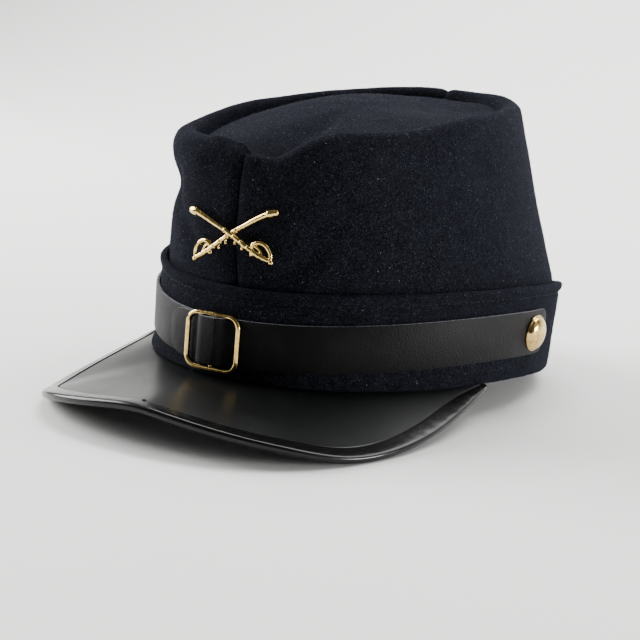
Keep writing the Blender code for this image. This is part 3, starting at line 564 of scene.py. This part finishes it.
bandSeam = {
    "below": 0.0046,
    "pitch": 0.0030,
    "length": 0.0021,
    "thickness": 0.0004,
    "groove": 0.00035,
    "grooveWidth": 0.0008,
}
bandCorners = capPoints("band")
bandCorners = bandCorners[bandCorners[:, 2] > 0.025]
bandAngles = np.arctan2(bandCorners[:, 0] / roundness, -bandCorners[:, 1])
seamHeights = []
for degree in range(-180, 181):
    apart = np.abs(np.remainder(bandAngles - math.radians(degree) + math.pi, math.tau) - math.pi)
    seamHeights.append(bandCorners[apart < math.radians(4)][:, 2].max() - bandSeam["below"])


def seamHeight(x, y):
    # the height of the band's stitched line, by the place round the head
    degree = math.degrees(math.atan2(x / roundness, -y)) + 180
    low = min(int(degree), 359)
    return seamHeights[low] + (seamHeights[low + 1] - seamHeights[low]) * (degree - low)


def pressSeam(obj):
    # the line of stitches pulls the cloth in
    normals = [v.normal.copy() for v in obj.data.vertices]
    for vertex, normal in zip(obj.data.vertices, normals):
        inCap = toCap @ vertex.co
        away = (inCap.z - seamHeight(inCap.x, inCap.y)) / bandSeam["grooveWidth"]
        if abs(away) < 3 and normal.dot(Vector((inCap.x, inCap.y, 0))) > 0:
            vertex.co -= normal * bandSeam["groove"] * math.exp(-away ** 2)
    obj.data.update()


hem = {"reach": 0.006, "clear": 0.0001, "mostDrop": 0.003, "sectors": 180, "above": 0.002, "search": 0.008}


def seatHem(obj):
    # lets the soft hem down on to the peak, all along the line where the peak is sewn in
    tree = surfaceOf("peak")
    inCap = [toCap @ v.co for v in obj.data.vertices]
    turns = [(math.atan2(p.x, -p.y) + math.pi) / math.tau for p in inCap]
    sectors = [int(turn * hem["sectors"]) % hem["sectors"] for turn in turns]
    bottoms = [None] * hem["sectors"]
    for place, sector in zip(inCap, sectors):
        if bottoms[sector] is None or place.z < bottoms[sector].z:
            bottoms[sector] = place
    drops = []
    for bottom in bottoms:
        hit = tree.ray_cast(capFrame @ (bottom + Vector((0, 0, hem["above"]))), -capUp, hem["search"])[0]
        gap = bottom.z - (toCap @ hit).z - hem["clear"] if hit else 0.0
        drops.append(min(max(gap, 0.0), hem["mostDrop"]))
    beside = drops[-1:] + drops[:-1], drops[1:] + drops[:1]
    drops = [(a + drop + b) / 3 if drop else 0.0 for a, drop, b in zip(beside[0], drops, beside[1])]
    for vertex, place, sector in zip(obj.data.vertices, inCap, sectors):
        share = 1 - (place.z - bottoms[sector].z) / hem["reach"]
        if share > 0:
            vertex.co -= capUp * drops[sector] * share
    obj.data.update()


for nodeName, pieceName in (("crown_left", "crownPanelLeft"), ("crown_right", "crownPanelRight")):
    panel = copyOf(pieceName, nodeName)
    closePinHole(panel)
    smoothed(panel, cloth["panelLevels"])
    settleCloth(panel, folds=True)
    dressed(panel, woolMaterial, "navy_wool", nodeName)

crownTop = copyOf("crownTopCloth", "crown_top")
smoothed(crownTop, cloth["fineLevels"])
settleCloth(crownTop, folds=True, wall=False)
dressed(crownTop, woolMaterial, "navy_wool", "crown_top")

bandCloth = copyOf("bandCloth", "band")
smoothed(bandCloth, cloth["fineLevels"])
settleCloth(bandCloth)
pressSeam(bandCloth)
seatHem(bandCloth)
dressed(bandCloth, woolMaterial, "navy_wool", "band")

fuzz = {
    "perSquareCm": 15,
    "length": (0.0007, 0.0020),
    "thick": 0.00005,
    "lean": 0.75,
    "rise": 1.3,
    "bend": 0.25,
    "off": 0.00006,
    "rooted": 0.00008,
    "centreUp": 0.03,
    "seed": 7,
}


def makeFibres(name, cloths):
    # loose fibres of the nap: each a bent spindle of six faces, rooted in the cloth and lying nearly flat on it
    draw = random.Random(fuzz["seed"])
    points, faces = [], []
    for obj in cloths:
        mesh = obj.data
        mesh.calc_loop_triangles()
        for triangle in mesh.loop_triangles:
            corners = [mesh.vertices[i].co for i in triangle.vertices]
            normal = triangle.normal
            centre = (corners[0] + corners[1] + corners[2]) / 3
            if normal.dot(centre - capFrame.translation - capUp * fuzz["centreUp"]) < 0:
                continue
            wanted = triangle.area * 10000 * fuzz["perSquareCm"]
            for _ in range(int(wanted) + (draw.random() < wanted - int(wanted))):
                a, b = sorted((draw.random(), draw.random()))
                root = corners[0] * a + corners[1] * (b - a) + corners[2] * (1 - b)
                along = Vector((draw.gauss(0, 1), draw.gauss(0, 1), draw.gauss(0, 1))).normalized()
                along = (along - normal * along.dot(normal)).normalized()
                lean = fuzz["lean"] + draw.random() * (1 - fuzz["lean"])
                way = (along * lean + normal * (1 - lean) * fuzz["rise"]).normalized()
                length = draw.uniform(*fuzz["length"])
                side = way.cross(normal).normalized()
                bend = side * length * draw.uniform(-fuzz["bend"], fuzz["bend"])
                middle = root + way * length * 0.5 + bend + normal * fuzz["off"]
                first = len(points)
                points.append(root - normal * fuzz["rooted"])
                for turn in (0, 1, 2):
                    angle = turn * math.tau / 3
                    points.append(middle + (side * math.cos(angle) + normal * math.sin(angle)) * fuzz["thick"])
                points.append(root + way * length)
                for i, j in ((1, 2), (2, 3), (3, 1)):
                    faces.append((first, first + i, first + j))
                    faces.append((first + 4, first + j, first + i))
    mesh = bpy.data.meshes.new(name)
    mesh.from_pydata(points, [], faces)
    dressed(newObject(name, mesh), fuzzMaterial, "navy_wool")


clothNames = ("crownPanelLeft", "crownPanelRight", "crownTopCloth", "bandCloth")
makeFibres("looseFibres", [bpy.data.objects[name] for name in clothNames])
print("cloth shaped")


tuck = {"from": -0.052, "over": 0.016, "lift": 0.0011}


def tuckLift(point):
    # how far a point of the peak is raised: only the two corners are, up against the hem
    share = min(max(((toCap @ point).y - tuck["from"]) / tuck["over"], 0), 1)
    return capUp * tuck["lift"] * share


def tuckEnds(obj):
    for vertex in obj.data.vertices:
        vertex.co += tuckLift(vertex.co)
    obj.data.update()


lip = {"corner": 70, "faceUp": 0.5, "aimY": -0.03, "turnY": 0.03, "over": 0.0008, "above": 0.006, "lowest": 0.0012}


def innerLip(obj):
    # the binding's upper inner edge, from one side to the other: the line that it is sewn along
    found = {}
    tree = surfaceOf("peak_binding")
    edges = bmesh.new()
    edges.from_mesh(obj.data)
    for edge in edges.edges:
        if not edge.is_manifold or edge.calc_face_angle() < math.radians(lip["corner"]):
            continue
        cutSide, leafUp = [face.normal for face in sorted(edge.link_faces, key=lambda face: face.normal.dot(capUp))]
        middle = toCap @ ((edge.verts[0].co + edge.verts[1].co) / 2)
        inward = Vector((-middle.x, lip["aimY"] - middle.y, 0))
        if leafUp.dot(capUp) > lip["faceUp"] and (toCap.to_3x3() @ cutSide).dot(inward) > 0:
            outward = -(capFrame.to_3x3() @ inward.normalized())
            outward = (outward - leafUp * outward.dot(leafUp)).normalized()
            for vertex in edge.verts:
                # the lower leaf has the upper one over it
                start = vertex.co + outward * lip["over"] + leafUp * lip["above"]
                top = tree.ray_cast(start, -leafUp, lip["above"] * 2)[0]
                if top and (top - vertex.co).dot(leafUp) < lip["lowest"]:
                    found[vertex.index] = vertex.co.copy()
    edges.free()
    return sorted(found.values(), key=lambda co: math.atan2((toCap @ co).x, lip["turnY"] - (toCap @ co).y))


peak = copyOf("peakLeather", "peak", keepCorners=30)
smoothed(peak, 2)
tuckEnds(peak)
dressed(peak, peakMaterial, "black_leather", "peak", smoothAngle=28)

binding = copyOf("peakBinding", "peak_binding", keepCorners=70)
bindingLip = innerLip(binding)
smoothed(binding, 2)
tuckEnds(binding)
dressed(binding, bindingMaterial, "glossy_black_leather", "peak_binding", smoothAngle=55)


strap = {
    "edgeRound": 0.00035,
    "edgeTurn": 40,
    "sideFrom": 0.06,
    "endReach": 0.0045,
    "drawnOut": (-0.0002, 0.0045, 0),
    "rawEdgeUp": 0.75,
}


def makeStrap(name, node):
    # a flat strap with its corners just rounded and its upper cut edge left raw; the long one's end at the
    # wearer's left is drawn out behind the button
    obj = copyOf(name, node)
    tail = max((v.co for v in obj.data.vertices), key=lambda co: co.y).copy()
    for vertex in obj.data.vertices:
        atEnd = vertex.co.x > strap["sideFrom"] and tail.y - vertex.co.y < strap["endReach"]
        if node == "strap_long" and atEnd:
            vertex.co += Vector(strap["drawnOut"])
    applied(obj, "BEVEL", width=strap["edgeRound"], segments=2,
            limit_method="ANGLE", angle_limit=math.radians(strap["edgeTurn"]))
    obj.data.materials.clear()
    obj.data.materials.append(strapMaterial)
    obj.data.materials.append(edgeMaterial)
    for face in obj.data.polygons:
        if face.normal.dot(capUp) > strap["rawEdgeUp"]:
            face.material_index = 1
    dressed(obj, None, "black_leather", node, smoothAngle=35)


makeStrap("longStrap", "strap_long")
makeStrap("shortStrap", "strap_short")
print("leather shaped")


def axesOf(points):
    # a node's middle and main directions, from the spread of its corners
    middle = points.mean(axis=0)
    spread, directions = np.linalg.eigh(np.cov((points - middle).T))
    return middle, spread, [Vector(directions[:, i]) for i in range(3)]


buckle = {"wire": 0.0021, "corner": 0.0042, "bar": 0.0018, "sides": 5, "drop": 0.0006}


def makeBuckle():
    # a bent wire frame with a bar across its middle
    points = np.array([v.co for v in frame["nodes"]["buckle"].data.vertices])
    out = axesOf(points)[2][0]
    if out.y > 0:
        out = -out
    up = (capUp - out * capUp.dot(out)).normalized()
    along = up.cross(out)
    reach = {}
    for key, axis in (("along", along), ("up", up), ("out", out)):
        places = points @ np.array(axis)
        reach[key] = (places.min(), places.max())
    wide = reach["along"][1] - reach["along"][0] - buckle["wire"]
    tall = reach["up"][1] - reach["up"][0] - buckle["wire"]
    place = Matrix((along, up, out)).transposed().to_4x4()
    place.translation = (along * sum(reach["along"]) + up * sum(reach["up"]) + out * sum(reach["out"])) / 2
    place.translation -= up * buckle["drop"]
    bpy.ops.mesh.primitive_plane_add(size=1)
    obj = bpy.context.object
    pickOnly(obj)
    bpy.ops.object.mode_set(mode="EDIT")
    bpy.ops.mesh.select_all(action="SELECT")
    bpy.ops.transform.resize(value=(wide, tall, 1))
    bpy.ops.mesh.bevel(offset=buckle["corner"], segments=9, affect="VERTICES")
    bpy.ops.mesh.delete(type="ONLY_FACE")
    bpy.ops.object.mode_set(mode="OBJECT")
    bpy.ops.object.convert(target="CURVE")
    obj = bpy.context.object
    obj.data.bevel_depth = buckle["wire"] / 2
    obj.data.bevel_resolution = buckle["sides"]
    bpy.ops.object.convert(target="MESH")
    obj = bpy.context.object
    bpy.ops.mesh.primitive_cylinder_add(vertices=20, radius=buckle["bar"] / 2, depth=tall,
                                        rotation=(math.radians(90), 0, 0))
    bar = bpy.context.object
    settled(bar)
    obj = joined("slideBuckle", [obj, bar])
    obj.matrix_world = place
    dressed(obj, brassMaterial, "brass", "buckle", smoothAngle=50)


makeBuckle()

button = {
    "head": 0.0044,
    "dome": 0.0036,
    "domeShare": 0.90,
    "edge": 0.0007,
    "rim": [(0.93, 0.75), (0.97, 1.0), (1.0, 0.7), (1.0, 0.3), (0.96, 0.0)],
    "shank": 0.0013,
    "rivet": 0.0034,
    "rivetDeep": 0.0008,
    "rings": 9,
    "sides": 48,
}


def makeButton(name, node):
    # a pressed dome with a turned-over rim, on its shank and rivet
    points = np.array([v.co for v in frame["nodes"][node].data.vertices])
    middle, spread, directions = axesOf(points)
    gaps = [abs(spread[1] - spread[2]), abs(spread[0] - spread[2]), abs(spread[0] - spread[1])]
    axis = directions[gaps.index(min(gaps))]
    if axis.dot(Vector(middle) - capFrame.translation) < 0:
        axis = -axis
    along = points @ np.array(axis)
    top, bottom = along.max(), along.min()
    centre = Vector(middle) - axis * Vector(middle).dot(axis)
    radius = max((Vector(p) - centre - axis * Vector(p).dot(axis)).length for p in points)
    rim = top - button["head"]
    top = rim + button["dome"]
    edge = button["edge"]
    rings = []
    for i in range(1, button["rings"] + 1):
        turn = math.radians(90 * i / button["rings"])
        height = rim + edge + (button["dome"] - edge) * math.cos(turn)
        rings.append((radius * button["domeShare"] * math.sin(turn), height))
    rings += [(radius * share, rim + edge * rise) for share, rise in button["rim"]]
    rings += [(button["shank"], rim), (button["shank"], bottom + button["rivetDeep"])]
    rings += [(button["rivet"], bottom + button["rivetDeep"]), (button["rivet"], bottom)]
    bpy.ops.mesh.primitive_circle_add(vertices=button["sides"], radius=rings[0][0], location=(0, 0, rings[0][1]),
                                      fill_type="TRIFAN")
    obj = bpy.context.object
    settled(obj)
    for v in obj.data.vertices:
        if math.hypot(v.co.x, v.co.y) < rings[0][0] * 0.1:
            v.co.z = top
    bpy.ops.object.mode_set(mode="EDIT")
    bpy.ops.mesh.select_all(action="DESELECT")
    bpy.ops.mesh.select_non_manifold()
    was = rings[0]
    for ring in rings[1:]:
        bpy.ops.mesh.extrude_edges_move(TRANSFORM_OT_translate={"value": (0, 0, ring[1] - was[1])})
        share = ring[0] / was[0]
        bpy.ops.transform.resize(value=(share, share, 1), center_override=(0, 0, ring[1]))
        was = ring
    bpy.ops.mesh.edge_face_add()
    bpy.ops.mesh.select_all(action="SELECT")
    bpy.ops.mesh.normals_make_consistent(inside=False)
    bpy.ops.object.mode_set(mode="OBJECT")
    place = axis.to_track_quat("Z", "Y").to_matrix().to_4x4()
    place.translation = centre
    obj.name = name
    obj.matrix_world = place
    dressed(obj, brassMaterial, "brass", node, smoothAngle=55)


makeButton("sideButtonLeft", "button_left")
makeButton("sideButtonRight", "button_right")
print("fittings shaped")


badge = {
    "width": 0.0390,
    "crossing": 0.0534,
    "turn": math.radians(5.0),
    "bow": 0.085,
    "hiltShare": 0.88,
    "hiltFrom": (0.2, -0.1),
    "wire": 0.0019,
    "stand": 0.6,
    "overlap": 0.00045,
    "bandRing": (1.05, 0.28),
    "wrapRing": (0.98, 0.16),
    "stem": 0.42,
    "hanger": 0.62,
    "voxel": 0.00016,
}

# One sabre, from the scabbard's tip through the crossing to the pommel: across and up as shares of the
# badge's width, and thickness as a share of the wire.
sabreBlade = [
    (-0.505, 0.212, 0.8), (-0.492, 0.213, 1.4), (-0.470, 0.211, 1.6), (-0.440, 0.206, 1.8), (-0.405, 0.197, 1.8),
    (-0.385, 0.190, 1.3), (-0.310, 0.158, 1.25), (-0.250, 0.129, 1.2), (-0.185, 0.095, 1.1), (-0.09, 0.048, 1.0),
    (0.0, 0.0, 1.0), (0.06, -0.038, 1.0), (0.125, -0.080, 1.02), (0.185, -0.120, 1.05), (0.240, -0.158, 1.1),
]
sabreGrip = [
    (0.225, -0.148, 0.9), (0.262, -0.172, 1.0), (0.300, -0.195, 1.15),
    (0.345, -0.221, 1.2), (0.400, -0.246, 1.1), (0.455, -0.268, 1.0),
]
sabreGuard = [
    (0.236, -0.185, 0.6), (0.245, -0.150, 0.8), (0.262, -0.112, 0.95), (0.295, -0.086, 1.0), (0.345, -0.078, 0.95),
    (0.395, -0.092, 0.9), (0.435, -0.125, 0.88), (0.462, -0.170, 0.85), (0.474, -0.220, 0.8), (0.470, -0.268, 0.8),
]
innerGuard = [
    (0.262, -0.112, 0.5), (0.300, -0.122, 0.55), (0.340, -0.150, 0.55), (0.365, -0.190, 0.55), (0.372, -0.232, 0.5),
]
sabreKnobs = [(0.254, -0.205, 0.95), (0.268, -0.092, 0.85), (0.480, -0.286, 1.05), (-0.436, 0.230, 0.6)]
scabbardBands = [-0.405, -0.35, -0.06, 0.045, 0.125, 0.200]
hangingRings = [0.062, 0.140]
ringDrop = 0.055

nearCrossing = badgeCorners[abs(badgeCorners[:, 0]) < 0.004]
badgeY = nearCrossing[:, 1].min() + badge["wire"] * badge["stand"]


def badgePoint(across, up, lift):
    # a point of the badge, bowed to the crown; the hilts are drawn in a little
    hiltX, hiltY = badge["hiltFrom"]
    if abs(across) > hiltX and up < 0:
        rest = 1 - badge["hiltShare"]
        across = across * badge["hiltShare"] + math.copysign(hiltX * rest, across)
        up = up * badge["hiltShare"] + hiltY * rest
    x = (across * math.cos(badge["turn"]) - up * math.sin(badge["turn"])) * badge["width"]
    z = (across * math.sin(badge["turn"]) + up * math.cos(badge["turn"])) * badge["width"]
    return capFrame @ Vector((x, badgeY + x * x / (2 * badge["bow"]) - lift, badge["crossing"] + z))


def tapered(name, points, radii, resolution=4):
    # a round wire of changing thickness through points
    curve = bpy.data.curves.new(name, "CURVE")
    curve.dimensions = "3D"
    curve.bevel_depth = 1.0
    curve.bevel_resolution = resolution
    curve.resolution_u = 3
    curve.use_fill_caps = True
    spline = curve.splines.new("BEZIER")
    spline.bezier_points.add(len(points) - 1)
    for knot, point, radius in zip(spline.bezier_points, points, radii):
        knot.co = point
        knot.radius = radius
        knot.handle_left_type = knot.handle_right_type = "AUTO"
    pickOnly(newObject(name, curve))
    bpy.ops.object.convert(target="MESH")
    return bpy.context.object


def bead(centre, radius):
    bpy.ops.mesh.primitive_uv_sphere_add(segments=14, ring_count=9, radius=radius, location=centre)
    obj = bpy.context.object
    settled(obj)
    return obj


def ringOf(centre, axis, radius, thickness):
    bpy.ops.mesh.primitive_torus_add(major_radius=radius, minor_radius=thickness,
                                     major_segments=20, minor_segments=8)
    obj = bpy.context.object
    place = axis.to_track_quat("Z", "Y").to_matrix().to_4x4()
    place.translation = centre
    obj.matrix_world = place
    settled(obj)
    return obj


def alongBlade(across):
    # how far up the blade's middle line is there
    rows = [(row[0], row[1]) for row in sabreBlade]
    for (x0, y0), (x1, y1) in zip(rows, rows[1:]):
        if x0 <= across <= x1:
            return y0 + (y1 - y0) * (across - x0) / (x1 - x0)
    return rows[-1][1]


def makeBadge():
    # two scabbarded sabres cast in one piece, the one whose hilt is on the wearer's left lying on top
    parts = []
    half = badge["wire"] / 2
    for side in (1, -1):
        lift = badge["overlap"] * side
        for rows in (sabreBlade, sabreGrip, sabreGuard, innerGuard):
            line = [badgePoint(side * x, y, lift) for x, y, _ in rows]
            parts.append(tapered("sabrePart", line, [half * size for _, _, size in rows]))
        for x, y, size in sabreKnobs:
            parts.append(bead(badgePoint(side * x, y, lift), half * size))
        for across in scabbardBands:
            up = alongBlade(across)
            ahead = badgePoint(side * (across + 0.02), alongBlade(across + 0.02), lift)
            here = badgePoint(side * across, up, lift)
            wide, thick = badge["bandRing"]
            parts.append(ringOf(here, ahead - here, half * wide, half * thick))
        for x, y, size in sabreGrip[1:-1]:
            here = badgePoint(side * x, y, lift)
            ahead = badgePoint(side * (x + 0.02), y - 0.012, lift)
            wide, thick = badge["wrapRing"]
            parts.append(ringOf(here, ahead - here, half * size * wide, half * thick))
        for across in hangingRings:
            up = alongBlade(across)
            top = badgePoint(side * across, up - 0.012, lift)
            foot = badgePoint(side * across, up - ringDrop, lift)
            parts.append(tapered("stem", [top, top.lerp(foot, 0.5), foot], [half * badge["stem"]] * 3, 2))
            parts.append(bead(foot, half * badge["hanger"]))
    obj = joined("sabreBadge", parts)
    applied(obj, "REMESH", mode="VOXEL", voxel_size=badge["voxel"], use_smooth_shade=True)
    applied(obj, "SMOOTH", factor=0.5, iterations=2)
    pins = []
    for middle in pinEnds:
        start = capFrame @ Vector((middle[0], badgeY, middle[2]))
        end = capFrame @ Vector((middle[0], middle[1], middle[2]))
        pins.append(tapered("pin", [start, start.lerp(end, 0.5), end], [pin["radius"]] * 3, 3))
    obj = joined("sabreBadge", [obj, *pins])
    dressed(obj, giltMaterial, "gilt_metal", "sabre_badge")


makeBadge()
print("badge cast")


def stitchRow(name, places, length, thickness, material, slotName):
    # one thread stitch, copied along a row of places: (middle, direction, outward)
    bpy.ops.mesh.primitive_uv_sphere_add(segments=8, ring_count=6, radius=0.5)
    first = bpy.context.object
    stitches = []
    for middle, direction, outward in places:
        stitch = newObject(name, first.data.copy())
        across = direction.cross(outward).normalized()
        turn = Matrix((direction.normalized(), across, across.cross(direction).normalized())).transposed().to_4x4()
        turn.translation = middle
        stitch.matrix_world = turn @ Matrix.Diagonal((length, thickness, thickness, 1))
        stitches.append(stitch)
    bpy.data.objects.remove(first)
    settled(*stitches)
    dressed(joined(name, stitches), material, slotName)


def evenPlaces(points, outs, pitch):
    # places a pitch apart along a line of surface points
    places, gone, goal = [], 0.0, pitch / 2
    for (a, b), out in zip(zip(points, points[1:]), outs):
        step = (b - a).length
        while goal <= gone + step:
            places.append((a.lerp(b, (goal - gone) / step), b - a, out))
            goal += pitch
        gone += step
    return places


bindingSeam = {
    "pitch": 0.0027,
    "length": 0.0022,
    "thickness": 0.00055,
    "cord": 0.00050,
    "inward": 0.00055,
    "down": 0.00012,
    "step": 0.0015,
    "above": 0.002,
    "search": 0.003,
    "stitchUp": 0.8,
}


def peakSeam():
    # a waxed cord lies along the binding's inner edge, and the stitches lie on it
    places = []
    both = bmesh.new()
    both.from_mesh(peak.data)
    both.from_mesh(binding.data)
    tree = BVHTree.FromBMesh(both)
    both.free()
    for before, here, after in zip(bindingLip, bindingLip[1:], bindingLip[2:]):
        run = (after - before).normalized()
        inward = run.cross(capUp).normalized()
        if inward.dot(capFrame.translation - here) < 0:
            inward = -inward
        places.append(here + inward * bindingSeam["inward"] + tuckLift(here))
    line = []
    for before, after in zip(places, places[1:]):
        steps = max(round((after - before).length / bindingSeam["step"]), 1)
        for i in range(steps):
            place = before.lerp(after, i / steps)
            hit = tree.ray_cast(place + capUp * bindingSeam["above"], -capUp, bindingSeam["search"])[0]
            line.append((hit or place) - capUp * bindingSeam["down"])
    cord = tapered("bindingCord", line, [bindingSeam["cord"]] * len(line), 2)
    dressed(cord, blackThread, "glossy_black_leather")
    raised = [point + capUp * bindingSeam["cord"] * bindingSeam["stitchUp"] for point in line]
    return evenPlaces(raised, [capUp] * len(line), bindingSeam["pitch"])


stitchRow("bindingStitches", peakSeam(), bindingSeam["length"], bindingSeam["thickness"],
          blackThread, "glossy_black_leather")


def bandTopSeam():
    # the row just under the band's turned-over top edge
    points, outs = [], []
    tree = BVHTree.FromObject(bpy.data.objects["bandCloth"], bpy.context.evaluated_depsgraph_get())
    for i in range(361):
        turn = math.radians(i)
        way = Vector((math.sin(turn), -math.cos(turn), 0))
        start = capFrame @ (way * 0.14 + Vector((0, 0, seamHeight(way.x, way.y))))
        hit, normal, _, _ = tree.ray_cast(start, -(capFrame.to_3x3() @ way), 0.1)
        if hit:
            points.append(hit)
            outs.append(normal)
    return evenPlaces(points, outs, bandSeam["pitch"])


stitchRow("bandStitches", bandTopSeam(), bandSeam["length"], bandSeam["thickness"], navyThread, "navy_wool")
print("stitching done")


view = {
    "place": (0.3227, -0.5569, 0.1602),
    "azimuth": 30.398,
    "elevation": 11.631,
    "roll": 3.624,
    "lens": 87.36,
}

stage = {"colour": "#ebeae8", "roughness": 0.9, "size": 6, "middleY": -0.8, "wall": 4, "sweep": 1.3}


def makeStage():
    # a matt paper sweep: a floor that curves up into a wall behind the cap
    material, tree, shader = newMaterial("paleStage")
    connect(tree, shader, {
        "Base Color": linear(stage["colour"]),
        "Roughness": stage["roughness"],
    })
    bpy.ops.mesh.primitive_plane_add(size=stage["size"], location=(0, stage["middleY"], 0))
    floor = bpy.context.object
    floor.name = "stageFloor"
    pickOnly(floor)
    bpy.ops.object.mode_set(mode="EDIT")
    bpy.ops.mesh.select_all(action="DESELECT")
    bpy.ops.object.mode_set(mode="OBJECT")
    for edge in floor.data.edges:
        ends = [floor.data.vertices[i].co.y for i in edge.vertices]
        edge.select = min(ends) > 0
    bpy.ops.object.mode_set(mode="EDIT")
    bpy.ops.mesh.select_mode(type="EDGE")
    bpy.ops.mesh.extrude_region_move(TRANSFORM_OT_translate={"value": (0, 0, stage["wall"])})
    bpy.ops.object.mode_set(mode="OBJECT")
    applied(floor, "BEVEL", width=stage["sweep"], segments=16, limit_method="ANGLE", angle_limit=math.radians(40))
    floor.data.materials.append(material)
    bpy.ops.object.shade_smooth()


def softLight(name, place, aim, size, power):
    bpy.ops.object.light_add(type="AREA", location=place)
    light = bpy.context.object
    light.name = name
    light.data.shape = "RECTANGLE"
    light.data.size, light.data.size_y = size
    light.data.energy = power
    light.rotation_euler = (Vector(place) - Vector(aim)).to_track_quat("Z", "Y").to_euler()


makeStage()
softLight("leftWindow", (-1.45, -0.20, 0.8), (0, 0, 0.06), (1.3, 1.1), 72)
softLight("rightWindow", (1.4, 0.15, 0.9), (0, 0, 0.06), (1.0, 1.0), 2)
softLight("rightLow", (1.32, 0.28, 0.20), (0.05, 0, 0.05), (0.45, 0.28), 21)
softLight("overhead", (0.0, 0.9, 1.7), (0, 0.35, 0.0), (2.0, 1.2), 48)
softLight("backdropWash", (0.0, 0.7, 1.9), (0, 2.2, 0.5), (2.4, 0.8), 60)

room = {"colour": "#dfe2e6", "strength": 0.15}
world = bpy.data.worlds.new("softRoom")
bpy.context.scene.world = world
world.use_nodes = True
world.node_tree.nodes["Background"].inputs[0].default_value = linear(room["colour"])
world.node_tree.nodes["Background"].inputs[1].default_value = room["strength"]

camera = newObject("photoCamera", bpy.data.cameras.new("photoCamera"))
azimuth, elevation, roll = (math.radians(view[key]) for key in ("azimuth", "elevation", "roll"))
level = math.cos(elevation)
viewBack = Vector((math.sin(azimuth) * level, -math.cos(azimuth) * level, math.sin(elevation)))
viewRight = Vector((math.cos(azimuth), math.sin(azimuth), 0))
viewUp = viewBack.cross(viewRight)
rolledRight = viewRight * math.cos(roll) + viewUp * math.sin(roll)
rolledUp = viewBack.cross(rolledRight)
camera.matrix_world = Matrix((rolledRight, rolledUp, viewBack)).transposed().to_4x4()
camera.location = view["place"]
camera.data.sensor_width = 36
camera.data.lens = view["lens"]
camera.data.clip_start = 0.02
bpy.context.scene.camera = camera
print("stage, lights and camera set")
